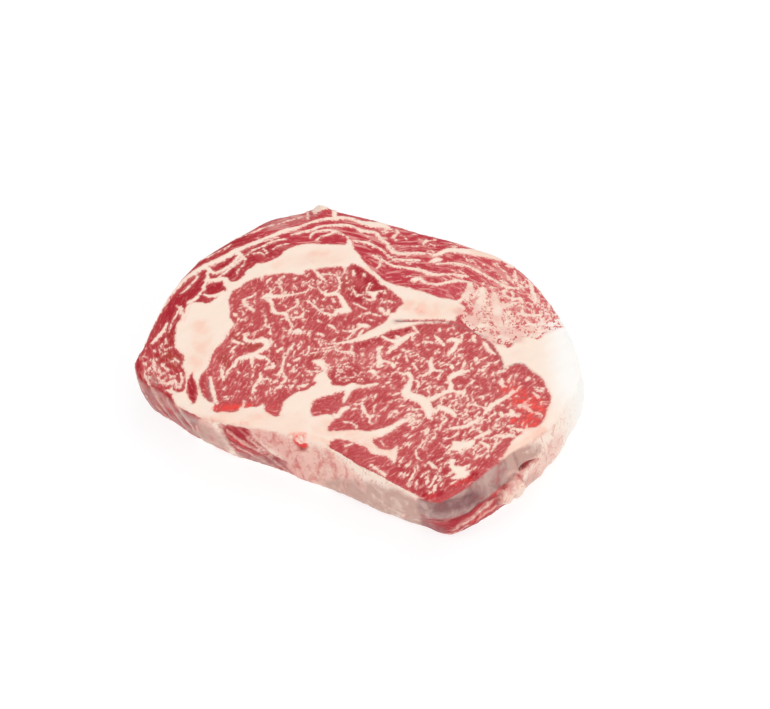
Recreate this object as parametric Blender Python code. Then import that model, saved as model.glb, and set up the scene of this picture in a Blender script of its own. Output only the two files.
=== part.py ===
"""Raw ribeye steak: one thick slice of meat, lying on its lower cut face.

Metres, +Z up, origin under the middle of the slice on the surface it lies on.
The slice is a sphere's rings and columns laid onto the steak: the lower rings
make the underside, the middle ones the trimmed wall and the upper ones the cut
face that shows.
"""

import math

import bmesh
import bpy
from mathutils import Vector

MM = 0.001

# Driving dimensions, in millimetres.
COLUMNS = 132  # round the steak
FOOT_ROUNDING = 5.0  # the soft lower edge
RIM_ROUNDING = 1.6  # the knife's crisper upper edge
LOW_LEVEL = 5.0  # height at which a station's low reach is given
CENTRE_HEIGHT = 28.6  # thickness in the middle of the eye
SAG = 0.7  # how far the cut face dips between the middle and the rim

# Stations round the upper rim, anticlockwise seen from above, starting at the
# thin tail: (x, y, rim height, reach past the rim low on the wall, and halfway
# up it), in millimetres.
STATIONS = (
    (-91.2, -5.0, 24.0, -1.5, 0.8),
    (-88.8, -14.0, 24.0, -2.5, -0.2),
    (-80.0, -20.0, 24.5, -1.6, 0.0),
    (-72.5, -28.6, 25.5, -3.6, -1.0),
    (-62.0, -35.8, 27.0, -3.8, -1.0),
    (-45.0, -40.3, 28.0, -0.8, 0.8),
    (-28.0, -43.3, 28.0, 3.2, 2.2),
    (-10.0, -51.0, 28.0, 3.4, 2.4),
    (5.0, -62.0, 28.0, 0.8, 1.2),
    (20.0, -72.0, 27.5, -1.8, 0.4),
    (30.0, -77.5, 27.0, -3.2, -0.4),
    (38.0, -74.5, 27.5, 1.4, 1.2),
    (46.0, -67.0, 28.0, 5.0, 3.6),
    (58.0, -55.5, 28.5, 6.6, 4.2),
    (75.0, -42.0, 28.5, 3.6, 3.4),
    (84.0, -29.0, 28.0, 2.4, 2.8),
    (91.0, -15.0, 28.0, 2.4, 2.4),
    (90.0, -2.0, 28.0, 2.2, 2.2),
    (85.5, 15.0, 28.0, 1.8, 2.2),
    (77.0, 33.5, 28.0, 1.2, 2.0),
    (66.0, 47.0, 28.0, 0.8, 1.8),
    (51.0, 57.0, 28.0, 0.4, 1.6),
    (22.0, 68.3, 28.0, 0.0, 1.4),
    (-2.0, 77.5, 28.0, -0.4, 1.2),
    (-18.0, 80.0, 28.0, -0.8, 1.2),
    (-35.0, 76.3, 28.0, -0.8, 1.0),
    (-44.0, 71.0, 28.0, -0.4, 1.0),
    (-60.0, 58.3, 28.0, 0.0, 1.2),
    (-71.6, 46.0, 27.5, 0.4, 1.4),
    (-80.9, 29.2, 27.0, 0.6, 1.4),
    (-87.4, 10.4, 25.5, 0.2, 1.2),
)

# Lumps that stand out of the wall: (x, y, height, reach, rise), in millimetres.
LUMPS = (
    (64.0, -59.0, 13.5, 5.0, 3.0),  # two beads of fat beside the eye's corner
    (58.5, -63.5, 12.0, 4.5, 3.0),
    (40.0, -76.0, 5.0, 8.0, 0.8),  # loose trimmings under the corner
    (-17.0, 80.0, 28.0, 4.0, 3.0),  # the fat tag on the far rim
    (-24.0, -46.5, 21.0, 6.0, 1.2),  # torn knot on the front wall
    (-90.5, -2.0, 21.0, 6.0, 1.0),  # swollen end of the tail
)

# How much of the outline's size each ring of a cut face has.
UNDER_RINGS = (0.16, 0.34, 0.52, 0.70, 0.86)
FACE_RINGS = (0.96, 0.89, 0.80, 0.69, 0.57, 0.45, 0.33, 0.21, 0.10)
WALL_LEVELS = (0.26, 0.40, 0.54, 0.68, 0.81, 0.90)  # shares of the rim height
CORNER_TURNS = (0.0, 0.5, 1.0)  # of each rounded edge, from flat to upright


def closed_spline(values, share):
    """The Catmull-Rom value at a share of the way round a closed list."""
    place = share * len(values)
    first = math.floor(place)
    step = place - first
    before, here, after, beyond = (
        Vector(values[(first + k) % len(values)]) for k in (-1, 0, 1, 2)
    )
    return 0.5 * (
        2 * here
        + (after - before) * step
        + (2 * before - 5 * here + 4 * after - beyond) * step**2
        + (3 * here - before - 3 * after + beyond) * step**3
    )


def even_shares(values, count, samples=2000):
    """Shares of the way round that lie the same length apart on the rim."""
    points = [closed_spline(values, k / samples).xy for k in range(samples + 1)]
    run = [0.0]
    for first, second in zip(points, points[1:]):
        run.append(run[-1] + (second - first).length)
    shares, k = [], 0
    for column in range(count):
        wanted = run[-1] * column / count
        while run[k + 1] < wanted:
            k += 1
        shares.append((k + (wanted - run[k]) / (run[k + 1] - run[k])) / samples)
    return shares


def wall_reach(low, halfway, level, rim_height):
    """How far the wall stands out of the rim's line at a height."""
    up = max(0.0, min(1.0, (level - LOW_LEVEL) / (rim_height - LOW_LEVEL)))
    return low * (1 - up) * (1 - 2 * up) + halfway * 4 * up * (1 - up)


def column_profile(share):
    """One column's points from near the underside's middle to the face's."""
    x, y, rim_height, low, halfway = closed_spline(STATIONS, share)
    rim = Vector((x, y))
    along = (closed_spline(STATIONS, share + 0.002).xy - rim).normalized()
    outward = Vector((along.y, -along.x))

    def wall_point(level, inset):
        reach = wall_reach(low, halfway, level, rim_height) - inset
        return (*(rim + outward * reach), level)

    def corner(rounding, turn):
        angle = turn * math.pi / 2
        return rounding * (1 - math.sin(angle)), rounding * (1 - math.cos(angle))

    foot_edge = Vector(wall_point(0.0, FOOT_ROUNDING)[:2])
    points = [(*(foot_edge * ring), 0.0) for ring in UNDER_RINGS]
    for turn in CORNER_TURNS:
        inset, level = corner(FOOT_ROUNDING, turn)
        points.append(wall_point(level, inset))
    points += [wall_point(rim_height * level, 0.0) for level in WALL_LEVELS]
    for turn in reversed(CORNER_TURNS):
        inset, drop = corner(RIM_ROUNDING, turn)
        points.append(wall_point(rim_height - drop, inset))
    rim_edge = Vector(points[-1][:2])
    for ring in FACE_RINGS:
        dip = SAG * math.sin(math.pi * ring)
        height = CENTRE_HEIGHT + (rim_height - CENTRE_HEIGHT) * ring**3 - dip
        points.append((*(rim_edge * ring), height))
    return points


def lay_sphere_on_steak(shape):
    """Moves a sphere's vertices, ring by ring, onto the steak."""
    profiles = [column_profile(share) for share in even_shares(STATIONS, COLUMNS)]
    rings = len(profiles[0])
    for vertex in shape.verts:
        x, y, z = vertex.co
        if math.hypot(x, y) < 1e-4:
            height = CENTRE_HEIGHT if z > 0 else 0.0
            vertex.co = Vector((0.0, 0.0, height)) * MM
            continue
        column = round(math.atan2(y, x) / math.tau * COLUMNS) % COLUMNS
        ring = round((math.asin(max(-1.0, min(1.0, z))) / math.pi + 0.5) * (rings + 1)) - 1
        vertex.co = Vector(profiles[column][ring]) * MM


def raise_lumps(shape):
    """Pushes the surface out round each lump, but never under the flat foot."""
    shape.normal_update()
    moves = {}
    for x, y, height, reach, rise in LUMPS:
        middle = Vector((x, y, height)) * MM
        for vertex in shape.verts:
            distance = (vertex.co - middle).length / (reach * MM)
            if vertex.co.z > 0.5 * MM and distance < 3.0:
                push = vertex.normal * rise * MM * math.exp(-(distance**2))
                moves[vertex] = moves.get(vertex, Vector()) + push
    for vertex, push in moves.items():
        vertex.co += push


def centre_on_box(shape):
    """Puts the origin under the middle of the steak's own box."""
    for axis in (0, 1):
        places = [vertex.co[axis] for vertex in shape.verts]
        middle = (min(places) + max(places)) / 2
        for vertex in shape.verts:
            vertex.co[axis] -= middle


def raw_meat():
    material = bpy.data.materials.new("raw_meat")
    material.use_nodes = True
    surface = material.node_tree.nodes["Principled BSDF"]
    surface.inputs["Base Color"].default_value = (0.42, 0.09, 0.09, 1.0)
    surface.inputs["Roughness"].default_value = 0.45
    surface.inputs["Metallic"].default_value = 0.0
    return material


def build_steak(collection):
    shape = bmesh.new()
    rings = len(column_profile(0.0))
    bmesh.ops.create_uvsphere(shape, u_segments=COLUMNS, v_segments=rings + 1, radius=1.0)
    lay_sphere_on_steak(shape)
    raise_lumps(shape)
    centre_on_box(shape)
    mesh = bpy.data.meshes.new("ribeye_steak")
    shape.to_mesh(mesh)
    shape.free()
    mesh.shade_smooth()
    mesh.materials.append(raw_meat())
    steak = bpy.data.objects.new("ribeye_steak", mesh)
    collection.objects.link(steak)
    return steak


def main():
    for leftover in list(bpy.data.objects):
        bpy.data.objects.remove(leftover)
    collection = bpy.data.collections.new("raw_ribeye_steak")
    bpy.context.scene.collection.children.link(collection)
    build_steak(collection)


main()
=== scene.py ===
import math
import random

import bmesh
import bpy
import numpy as np
from mathutils import Matrix, Vector


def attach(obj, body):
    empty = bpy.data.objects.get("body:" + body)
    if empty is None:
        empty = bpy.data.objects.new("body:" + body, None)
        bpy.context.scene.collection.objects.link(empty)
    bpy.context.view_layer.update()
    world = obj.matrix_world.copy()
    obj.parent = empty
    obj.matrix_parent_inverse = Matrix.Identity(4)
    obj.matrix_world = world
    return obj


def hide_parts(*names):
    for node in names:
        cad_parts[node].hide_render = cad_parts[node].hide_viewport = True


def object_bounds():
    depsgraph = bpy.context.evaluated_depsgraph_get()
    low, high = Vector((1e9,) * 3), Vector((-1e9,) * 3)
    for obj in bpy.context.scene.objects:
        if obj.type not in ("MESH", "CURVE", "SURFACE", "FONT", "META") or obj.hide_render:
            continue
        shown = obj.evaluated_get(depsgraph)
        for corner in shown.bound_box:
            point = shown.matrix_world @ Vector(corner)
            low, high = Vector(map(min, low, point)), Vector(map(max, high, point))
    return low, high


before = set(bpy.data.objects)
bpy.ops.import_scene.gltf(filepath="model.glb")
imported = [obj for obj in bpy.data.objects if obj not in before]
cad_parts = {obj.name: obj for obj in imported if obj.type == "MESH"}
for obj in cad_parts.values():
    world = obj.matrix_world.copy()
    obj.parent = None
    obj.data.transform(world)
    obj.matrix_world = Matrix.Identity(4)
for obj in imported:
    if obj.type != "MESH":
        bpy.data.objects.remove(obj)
cadLow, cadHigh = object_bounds()
print("frame loaded, box", [round(v * 1000, 1) for v in (cadHigh - cadLow)], "mm")

# the steak's lengths are in millimetres, and its points are turned to metres at the end
mm = 0.001

# the raw ribeye: how fine its mesh is and how deep its relief, then the layout of its fat and lean
steak = {
    "voxel": 1.12,
    "seed": 11,
    "far": 4.0,
    "mergeGap": 0.01,
    "boxGap": 0.01,
    "halfHeight": 14,
    "underShift": 2.5,
    "footEase": 1.6,
    "fatRise": 0.28,
    "leanSink": 0.16,
    "fibreRelief": 0.07,
    "fatLumps": 0.09,
    "faceLumps": 0.22,
    "rimLumps": 0.22,
    "wallLumps": 0.30,
    "wallRipple": 0.10,
    "capSplit": 11,
    "capMiddles": ((-20, 5), (25, 5)),
}

# separate lumps that grow out of the edge: centre, size and turn about the upright axis
steak["edgeLumps"] = [
    ((58.4, -67.1, 12.2), (3.5, 3.3, 3.4), 42),
    ((62.7, -63.3, 13.4), (3.9, 3.7, 4.1), 42),
    ((-22.6, -49.0, 24.6), (1.9, 1.7, 1.5), 0),
    ((-17.5, 76.6, 27.2), (2.8, 2.6, 2.4), 0),
]

# the large fat bodies of the cut face, as outlines that are rounded through their points
steak["fatOutlines"] = [
    # kernel between the cap's tail and the eye
    [(-71, -23), (-71, -16), (-71.5, -13), (-73, -10.5), (-72.3, -8), (-72.6, -5.2), (-75, -2.3),
     (-76.6, 0), (-76.8, 6), (-76.6, 12), (-74.5, 14), (-73, 21), (-69, 23), (-64, 22.5),
     (-61.5, 25), (-58.7, 29.5), (-58.2, 34), (-60.3, 36.5), (-57.5, 37), (-55, 34.7),
     (-52.5, 34.8), (-49.5, 38), (-48, 41.5), (-44, 42), (-44.5, 37), (-48, 34.5), (-50.5, 31.7),
     (-53.5, 29.5), (-55.2, 26), (-55.3, 22), (-54.5, 18), (-54.3, 14), (-52.3, 10.8),
     (-53.5, 8), (-55, 5), (-57, 1), (-59.3, -2), (-61, -6), (-62, -11), (-64, -14.5),
     (-65.2, -18), (-65, -22), (-63.5, -26), (-61, -29.5), (-58, -31.5), (-60, -35.5),
     (-66, -36.5), (-71, -34), (-74.5, -29), (-76, -25.5), (-73.5, -24)],
    # crescent along the top of the eye
    [(-49.5, 38), (-48, 41.5), (-46.3, 42.3), (-44.7, 44.5), (-41, 45), (-38, 46.8),
     (-34.5, 49.7), (-32.5, 53), (-28.5, 55.3), (-24, 56.8), (-14, 56.3), (-6.5, 56.2),
     (-5.4, 59.5), (-3.8, 58.5), (-3, 54.5), (-2, 52.5), (-0.5, 50.5), (0.5, 48), (3, 44.5),
     (5, 41.5), (7.5, 39), (10, 35.5), (13, 33.8), (16, 32.2), (20, 31.2), (19, 26), (16, 26),
     (13.2, 29.7), (11, 31.5), (8.8, 32.8), (8, 34.7), (6.5, 36.8), (4.5, 39), (2, 41.8),
     (-1, 44), (-3.5, 44.8), (-5.2, 43), (-6.7, 41), (-8, 43.2), (-14, 42.6), (-18.5, 41.7),
     (-19.5, 39.8), (-20.5, 41), (-23, 41), (-24.8, 38.5), (-27, 38.7), (-30, 39.3), (-34, 39),
     (-38, 38), (-41, 37.2), (-42, 34.5), (-42.8, 36.3), (-45, 36.5)],
    # kernel right of the eye
    [(16, 29), (17.5, 24.5), (18.5, 22), (16.5, 20), (15, 17), (13.5, 14), (13, 11), (20, 12.6),
     (27, 13), (33, 13.1), (38, 12.3), (40.3, 12), (40.5, 14), (43, 16.5), (44.5, 18.5),
     (44.5, 20), (43, 21.3), (41.5, 23.2), (38, 24.3), (34, 25), (30, 27), (26, 29),
     (22.5, 30), (20.5, 31.3)],
    # band along the front edge
    [(-58, -31.5), (-59, -34), (-57, -36.3), (-54, -36), (-51, -36.6), (-49.5, -36),
     (-48, -35.2), (-47.5, -33), (-46, -34), (-43, -33.7), (-40, -33), (-38.3, -31.8),
     (-37.8, -35), (-35.5, -37.3), (-33, -38.6), (-31.8, -38), (-31, -34.5), (-29.5, -30.5),
     (-27, -27.8), (-25, -26), (-21.5, -25.3), (-18, -24), (-19.2, -32), (-19, -38.3),
     (-16, -38.3), (-12, -37.4), (-9.5, -39.5), (-11.3, -42.5), (-12.3, -45.7), (-9, -46.1),
     (-5, -45.9), (-1, -45.4), (2, -46), (5, -46), (9, -44.8), (12, -43.5), (15, -42.3),
     (15, -44.5), (12, -47), (9, -49.2), (6, -50), (6.3, -52), (8, -54.3), (10, -55.2),
     (13.5, -55), (15.7, -53), (15.6, -57), (15, -60.5), (13.5, -62.5), (12.8, -60),
     (10.5, -58.3), (6, -57.2), (3.5, -54.7), (0, -52.5), (-3, -51.5), (-6, -50.3),
     (-9, -50.2), (-11, -51.5), (-14, -55), (-24, -52), (-37, -48), (-52, -46), (-66, -42),
     (-70, -38), (-66, -34)],
    # branch that climbs into the eye, with its side arms
    [(-25, -26), (-21.5, -25.3), (-19.5, -23.5), (-16.8, -21.5), (-18.5, -20.3),
     (-17.3, -17.5), (-15.5, -15.8), (-14.3, -14.7), (-17.5, -12.3), (-19, -10), (-18.2, -9.2),
     (-15, -9.2), (-13.6, -11), (-13, -13.3), (-11, -14.3), (-13.3, -15.5), (-12.5, -18),
     (-11.2, -20.5), (-10.8, -22.3), (-6, -23), (-2.5, -21.3), (1, -22.7), (7.5, -21.7),
     (8, -22.7), (4, -24.2), (-1, -24.3), (-3, -26), (-4, -28.5), (-6, -32), (-6.5, -30),
     (-5.6, -27), (-6.3, -25.8), (-9, -26.8), (-13, -28.2), (-16.5, -29.3), (-18.5, -32),
     (-19.2, -36), (-19, -39), (-30, -39), (-30, -31), (-27, -28)],
    [(-10, -37), (-8.5, -37.3), (-7.3, -34.5), (-4.3, -33.2), (-3.5, -34.3), (-6, -36.8),
     (-7, -38.5), (-10, -40)],
    # white fat outside the eye on the right, down to the lower edge
    [(53, 4), (55.5, 1), (58, -0.5), (60, -0.5), (61.5, -2.8), (63.5, -1), (64.5, 1),
     (67, 2.7), (71, 3), (74.5, 2), (76.3, 4.5), (79, 6.5), (83, 8.3), (86, 10), (88, 13),
     (96, 10), (98, -20), (92, -36), (80, -50), (68, -60), (56, -66), (47, -71), (47, -70),
     (50.4, -67), (53.2, -64), (55.2, -60.8), (57, -58.2), (59, -55.4), (60.5, -52.4),
     (62.5, -49.9), (65.3, -47.9), (66.2, -45.3), (68.5, -44.8), (71.5, -44), (73.5, -42),
     (75, -39), (76, -35), (77.5, -31), (78, -27.5), (76.5, -24), (75.5, -20.5),
     (73.5, -17.5), (70, -14.5), (68, -12), (65.5, -11.3), (62.5, -12.5), (60.2, -14.3),
     (59.3, -13), (59, -9), (57, -4.2), (55, 0.2), (52.3, 3.2)],
    # pale patches low in the eye
    [(37.8, -51), (42, -51.3), (46, -50.4), (46.3, -52), (45.3, -54.5), (42, -55),
     (40.5, -57), (38.2, -55.6), (35.8, -56.3), (37, -53.5)],
    [(36.2, -60), (38.5, -60.5), (37.8, -63), (41, -63.6), (44, -62.5), (42.3, -65.5),
     (44.3, -66.3), (41, -69.6), (36, -69.2), (38.3, -67.3), (36, -64.5)],
]

# lean islands that lie in those fat bodies
steak["leanOutlines"] = [
    [(-69, -15), (-70.3, -20), (-69.8, -25), (-67.8, -29.5), (-66.4, -30.6), (-65.5, -26),
     (-66, -21), (-67.5, -17), (-68.3, -14)],
    [(-63.4, 44.3), (-60, 46.8), (-58, 47.3), (-56.5, 49.6), (-54.5, 50.3), (-53.4, 48.5),
     (-54.5, 46), (-57.5, 43), (-60, 40.8), (-63, 42)],
    [(-60.2, 38), (-57, 40.5), (-55, 43), (-52, 45.5), (-50, 47.6), (-49.2, 45), (-49.4, 41),
     (-50.5, 38.5), (-52.5, 35.6), (-54.5, 34.8), (-56, 36.8), (-58, 37)],
    [(-48.5, 45.5), (-47, 47.6), (-45.2, 46.3), (-45, 44.3), (-46.5, 42.2), (-48, 43)],
    [(-66.2, 29.3), (-65.3, 32.4), (-62, 33), (-60.3, 34.2), (-57.3, 31.5), (-57, 29.6),
     (-60, 29.6), (-61.5, 28.4), (-64, 28.4)],
    [(-68.8, 24.2), (-68.6, 27.2), (-67, 29), (-66.2, 27), (-66.5, 24)],
    [(-9, -50.6), (-5, -50.7), (-3, -52), (0, -53.2), (3.3, -55.2), (6, -57.8), (10.3, -58.9),
     (12.4, -60.5), (12.8, -63), (9, -66), (4, -63), (-1, -58), (-6, -53.5)],
    [(13.2, 4.2), (14.8, 5.6), (16, 4.6), (15.8, 2.8), (14.2, 2.3)],
    [(18.7, 7.3), (20.3, 9.3), (21.6, 8.2), (22.2, 6), (20.6, 5)],
    [(16.3, 5), (17, 6.6), (18.6, 5.5), (18.8, 4.2), (17.2, 3.6)],
]

# seams and veins of the cut face: each point is across, along and the width there
steak["fatVeins"] = [
    # line that splits the thin outer muscle from the cap
    [(-90, 3, 1.2), (-88.2, 9.5, 1), (-86, 16, 1.4), (-83.6, 21, 1.5), (-81, 26.5, 1.5),
     (-77.4, 32.2, 1.6), (-74, 37, 2), (-69.5, 41.2, 2.6), (-64.5, 44.8, 2.4), (-59.5, 48.2, 2.2),
     (-54.5, 51.8, 2.8), (-50.5, 54.2, 2.2), (-45.5, 57.2, 2.2), (-41.5, 59.6, 1.8),
     (-37.5, 61.6, 2), (-33, 64.4, 2.4), (-28, 66.2, 1.9), (-24, 68.4, 1.3), (-19.5, 70.2, 1.3),
     (-14, 71.3, 1.6),
     (-8, 72, 2.2), (-4, 71.5, 1.8), (0, 69.5, 2.2), (5, 68, 3.5), (10, 67.5, 3.5),
     (13, 65, 1)],
    [(-68, 42.6, 2.2), (-62, 46.2, 2.8), (-56, 50.6, 2.6)],
    [(-72, 45.6, 0.4), (-64, 50.2, 0.7), (-56, 56, 0.5)],
    [(-11.3, 72, 2), (-11.6, 77, 2.2), (-11.8, 82, 2.5)],
    [(-24, 79, 1.2), (-23.5, 75, 1), (-23.3, 71.5, 0.8)],
    [(-20, 75.5, 3), (-17.5, 77.5, 5), (-15.6, 78, 4)],
    # second line, and the lines that run on down the right of the crescent
    [(-30, 62, 1), (-26, 63.5, 1.2), (-21, 65, 1.5), (-19, 66.5, 1.3), (-14, 67.5, 1.2),
     (-9, 67.7, 1.6), (-5, 67.5, 1.5), (-2, 66, 1.2), (0, 64.5, 2.2), (3.5, 63.7, 1.6),
     (6.5, 63, 1.6), (8, 61, 1.8), (9.5, 58.8, 1.5), (11.5, 56.8, 1.5), (12.5, 54, 1.6),
     (14, 51.5, 1.2)],
    [(-48, 52, 0.5), (-44, 54, 0.7), (-40, 57, 0.9), (-36, 58.7, 0.9), (-32.5, 59.5, 0.6)],
    [(-42, 53.5, 0.8), (-40.5, 51.5, 0.9), (-40.8, 50.5, 0.4)],
    [(-47, 51, 0.5), (-49, 49.5, 0.6)],
    [(-53, 51, 3), (-51, 49, 1.6), (-49.5, 47.3, 1)],
    [(-22, 60, 0.8), (-21.5, 62, 1), (-19.5, 63.8, 1), (-15, 64.8, 1.2), (-11, 64, 1.5),
     (-8, 62.2, 1), (-5.5, 60.3, 0.8)],
    [(-19, 59, 0.8), (-17.5, 60.5, 0.9), (-14.5, 61.8, 1), (-12, 63.5, 1.8)],
    [(-2.5, 58.5, 1), (0.5, 57.8, 1), (2.5, 57.5, 1.5), (4.5, 56.2, 1.3), (7, 54.8, 1.2),
     (9, 53.2, 1), (11, 51, 0.9), (12.8, 48.8, 0.9), (14.5, 47.5, 1), (19, 47, 1.2),
     (23, 47, 1), (25.5, 46.8, 1.2)],
    [(5.5, 50, 1), (8, 47.5, 1.2), (8.7, 45.5, 1), (8.5, 43.5, 0.8), (7.5, 42.6, 0.8)],
    [(9.5, 47.2, 0.9), (12, 45, 1), (14.5, 43.5, 1.2), (18, 42.8, 1.3), (22, 42, 1.4),
     (26, 41, 1.8), (29, 39.3, 2), (33, 38.2, 1.6), (38, 38.7, 1), (43, 38, 1.5),
     (46.5, 37.3, 0.8)],
    [(13.5, 55, 1), (15, 51.5, 1.6), (19, 50.7, 1.8), (24, 51, 1.5), (30, 50.5, 1.2),
     (33, 50, 2), (38, 52.3, 2.5), (43, 52, 3), (48, 51.5, 4), (53, 51, 5), (58, 50, 5),
     (62, 47.5, 3)],
    [(53, 56, 4), (58, 51.5, 3), (63, 47.5, 3), (65.5, 44, 3), (63, 43.5, 1.2)],
    [(33, 44.8, 1), (38, 45, 1.1), (42, 44.8, 1.3), (46, 43.5, 1.2), (50, 41, 1.3),
     (54, 38, 1.2), (58, 34.8, 1.2), (61, 32, 1.6), (64, 30.8, 1.5), (68, 30.3, 1)],
    [(28.7, 58.5, 1.5), (27.5, 56.3, 1)],
    [(15.5, 65, 1), (16.3, 62.5, 1.2), (14, 60, 1), (16, 58.5, 0.6)],
    [(15.5, 69.5, 2), (18, 68.5, 3.2), (20, 66.5, 1.5)],
    [(30.5, 46, 1.5), (33, 47, 3), (35, 47.5, 1)],
    [(23, 35.5, 2.5), (25.5, 36, 2), (27.5, 34.3, 1.5), (29, 33.3, 1.2), (33, 32.8, 1.2),
     (36, 33.5, 1.6), (41, 34.8, 1.6), (46, 34.2, 1), (49, 33.3, 0.6)],
    [(47, 32.5, 2.5), (46.5, 29, 3.5), (44.5, 27, 2), (43.5, 24.5, 1.5), (41, 22.3, 2)],
    [(52, 30, 3), (52, 26, 3.5), (50.5, 22, 3), (49, 18.5, 2.5), (48.5, 15.5, 1),
     (46.5, 13, 1.8)],
    [(57, 27.5, 2), (57.5, 22, 4.2), (58.3, 17, 4), (57.5, 12, 3.5), (59.5, 9, 2.4)],
    [(51, 16.5, 1), (51, 12, 0.8)],
    [(72.2, 35.5, 1.2), (73, 32, 1.5), (73.5, 28, 2), (74.5, 24.5, 2), (74, 22, 1.5)],
    [(66.5, 40.5, 1), (66.5, 36, 0.9), (67.5, 33, 1), (70, 31, 1.2), (72, 31.5, 1)],
    [(61, 29, 1.5), (62, 26, 1.2), (65, 24, 1.5), (68, 24.5, 1.5), (68.5, 22, 1)],
    [(60.5, 20.5, 3), (63, 20.8, 2.4), (66, 22, 1)],
    [(66.5, 16, 1.4), (72, 15, 1.8), (76, 15.3, 1), (79, 15.8, 1)],
    [(76.6, 12.8, 2.4), (76, 10, 1.6)],
    [(64.3, 13.5, 1.5), (66.5, 12, 1.2)],
    [(59, 4, 2.4), (61, 2.5, 2), (61.5, 5.5, 1.2)],
    [(50, 10, 1.6), (53.5, 9.5, 2.4), (55.5, 7.5, 1)],
    [(69, 8, 1.2), (72.5, 8.2, 1), (76.5, 7, 1.2)],
    [(71.5, 4, 2.2), (74, 5, 1.4)],
    # left end of the cap
    [(-86.3, 2.5, 1), (-84, 5.5, 1.8), (-82, 8.5, 1.6), (-80.7, 12, 1)],
    [(-80.3, 2, 0.8), (-80.6, 4.2, 0.9)],
    [(-80.5, -1.6, 0.6), (-78.5, -0.8, 1)],
    [(-85.2, -6.5, 0.8), (-84.6, -9.5, 1.3), (-83.5, -12.3, 0.6)],
    [(-81.2, -8.5, 0.6), (-80, -11, 1.2), (-78, -12.5, 1)],
    [(-76.3, -6.6, 0.8), (-74.6, -8.3, 1)],
    [(-88.2, -12, 1), (-87.6, -15, 1.2), (-86, -18.5, 0.8)],
    [(-81.5, -18.3, 1), (-78, -19.3, 1.2), (-75.5, -17.8, 1.3), (-74.5, -20.5, 1)],
    [(-73, -14.5, 0.8), (-72.3, -18, 1.2), (-73, -21.5, 1)],
    [(-79, -22.2, 0.7), (-76, -23.5, 1.6), (-73, -26, 2.4)],
    [(-75.5, 21, 0.6), (-74.6, 17.5, 1), (-74.3, 13.5, 1.6)],
    [(-52.6, 38.7, 0.6), (-52, 42, 0.6), (-50, 44.3, 0.6), (-49.6, 46, 0.4)],
    [(-61, 36.5, 0.8), (-58.5, 38.8, 0.9), (-55.5, 42.8, 1.2), (-52.5, 46, 1.3),
     (-50.3, 48.8, 1.2)],
    [(-66.5, 43, 2), (-64.6, 41, 2), (-62, 39.4, 1.3), (-58.2, 41.6, 1.5), (-55, 44.8, 1.7),
     (-53, 48.2, 1.7), (-51.6, 50.6, 1.4)],
    [(-72.5, 22.5, 1.8), (-69.6, 25, 1.6), (-67.4, 28.6, 1.2), (-66.4, 32.4, 1.3),
     (-65.2, 36, 1.8), (-65.4, 39.5, 1.2)],
    [(-65.6, 35.4, 1.6), (-62.4, 35.6, 2), (-59.4, 36.2, 2.4)],
    [(-66.2, 27.6, 0.9), (-64, 26.6, 1.6), (-61, 27, 2), (-58, 29, 1.6)],
    [(-75.8, 28, 0.5), (-72, 33, 0.9), (-69.4, 38.4, 0.7)],
    [(-79.6, 8, 0.4), (-78.6, 13, 0.7), (-76.2, 19, 0.6)],
    [(-45, 60, 0.4), (-41, 58.4, 0.6), (-36, 60.4, 0.6)],
    [(-46, 50.4, 0.5), (-43, 51.2, 0.8), (-41.4, 49.4, 0.5)],
    [(-38, 53.4, 0.4), (-35.6, 55.4, 0.7), (-31, 56.8, 0.5)],
    [(-66, 52, 0.5), (-60, 56.4, 0.6), (-52, 61.6, 0.5)],
    [(-50, 62, 0.4), (-44, 65, 0.7), (-38, 67.8, 0.5)],
    [(-36, 68.6, 0.5), (-31, 71, 0.7), (-25, 73.4, 0.5)],
    [(-77.3, 21.5, 0.5), (-76, 19.7, 0.9), (-75.5, 16.5, 0.6)],
    # the eye, left half
    [(-60.7, -17, 1.2), (-60.3, -20.5, 1.8), (-59.3, -24.5, 1.9), (-58.2, -28.5, 1.6),
     (-57.6, -31, 1.6)],
    [(-49, 24, 1.4), (-48, 21, 1.5), (-46, 19, 1.5), (-44.4, 17.4, 1.2)],
    [(-49, 24, 1.2), (-47.3, 25.2, 0.8), (-45, 26.5, 0.8), (-44, 28, 0.6)],
    [(-41.5, 25, 0.8), (-39, 26.5, 2.8), (-37.5, 26, 2.6), (-33.5, 26, 1.6), (-29, 26.7, 1.1),
     (-26, 27.6, 0.8), (-22.7, 29, 0.9), (-21.5, 31, 0.9)],
    [(-38.3, 27.5, 1), (-37.5, 29.5, 0.7), (-39, 31.5, 0.6), (-39.7, 33.7, 0.9),
     (-38.5, 35.6, 0.7), (-37.6, 36.6, 0.6)],
    [(-36.8, 29, 0.6), (-36.3, 31, 0.7), (-33.6, 31, 0.8), (-33, 29, 0.7), (-33.2, 26.5, 0.8)],
    [(-33.6, 31, 0.7), (-33.3, 34, 0.6), (-34.6, 35.5, 0.9), (-32.4, 37.5, 0.8)],
    [(-38.5, 24.5, 2.4), (-37, 22, 1.4), (-36.8, 20, 1.4), (-36.2, 17.8, 2.2), (-34, 16.4, 1.6),
     (-31.4, 16.4, 2.2), (-30.6, 14.3, 1.5), (-29.4, 12, 1), (-28.2, 10, 1), (-27.8, 8.6, 0.8)],
    [(-26.4, 24, 1.3), (-26, 22, 1.1), (-26.8, 20.4, 1), (-28.6, 19.3, 1), (-30, 18, 1.6)],
    [(-30, 14.4, 0.8), (-27, 14, 0.8), (-24.2, 14.6, 1.8), (-23.6, 17, 0.8), (-24, 19, 0.6)],
    [(-21.6, 23.2, 1.3), (-20.4, 21.8, 1.1), (-18, 19.4, 0.9), (-16, 17, 1.1),
     (-13, 15.7, 1.6), (-10.6, 15.4, 1.6), (-9.4, 17.2, 2.6), (-7, 17.6, 3.4),
     (-4.6, 17.6, 2.6)],
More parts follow.
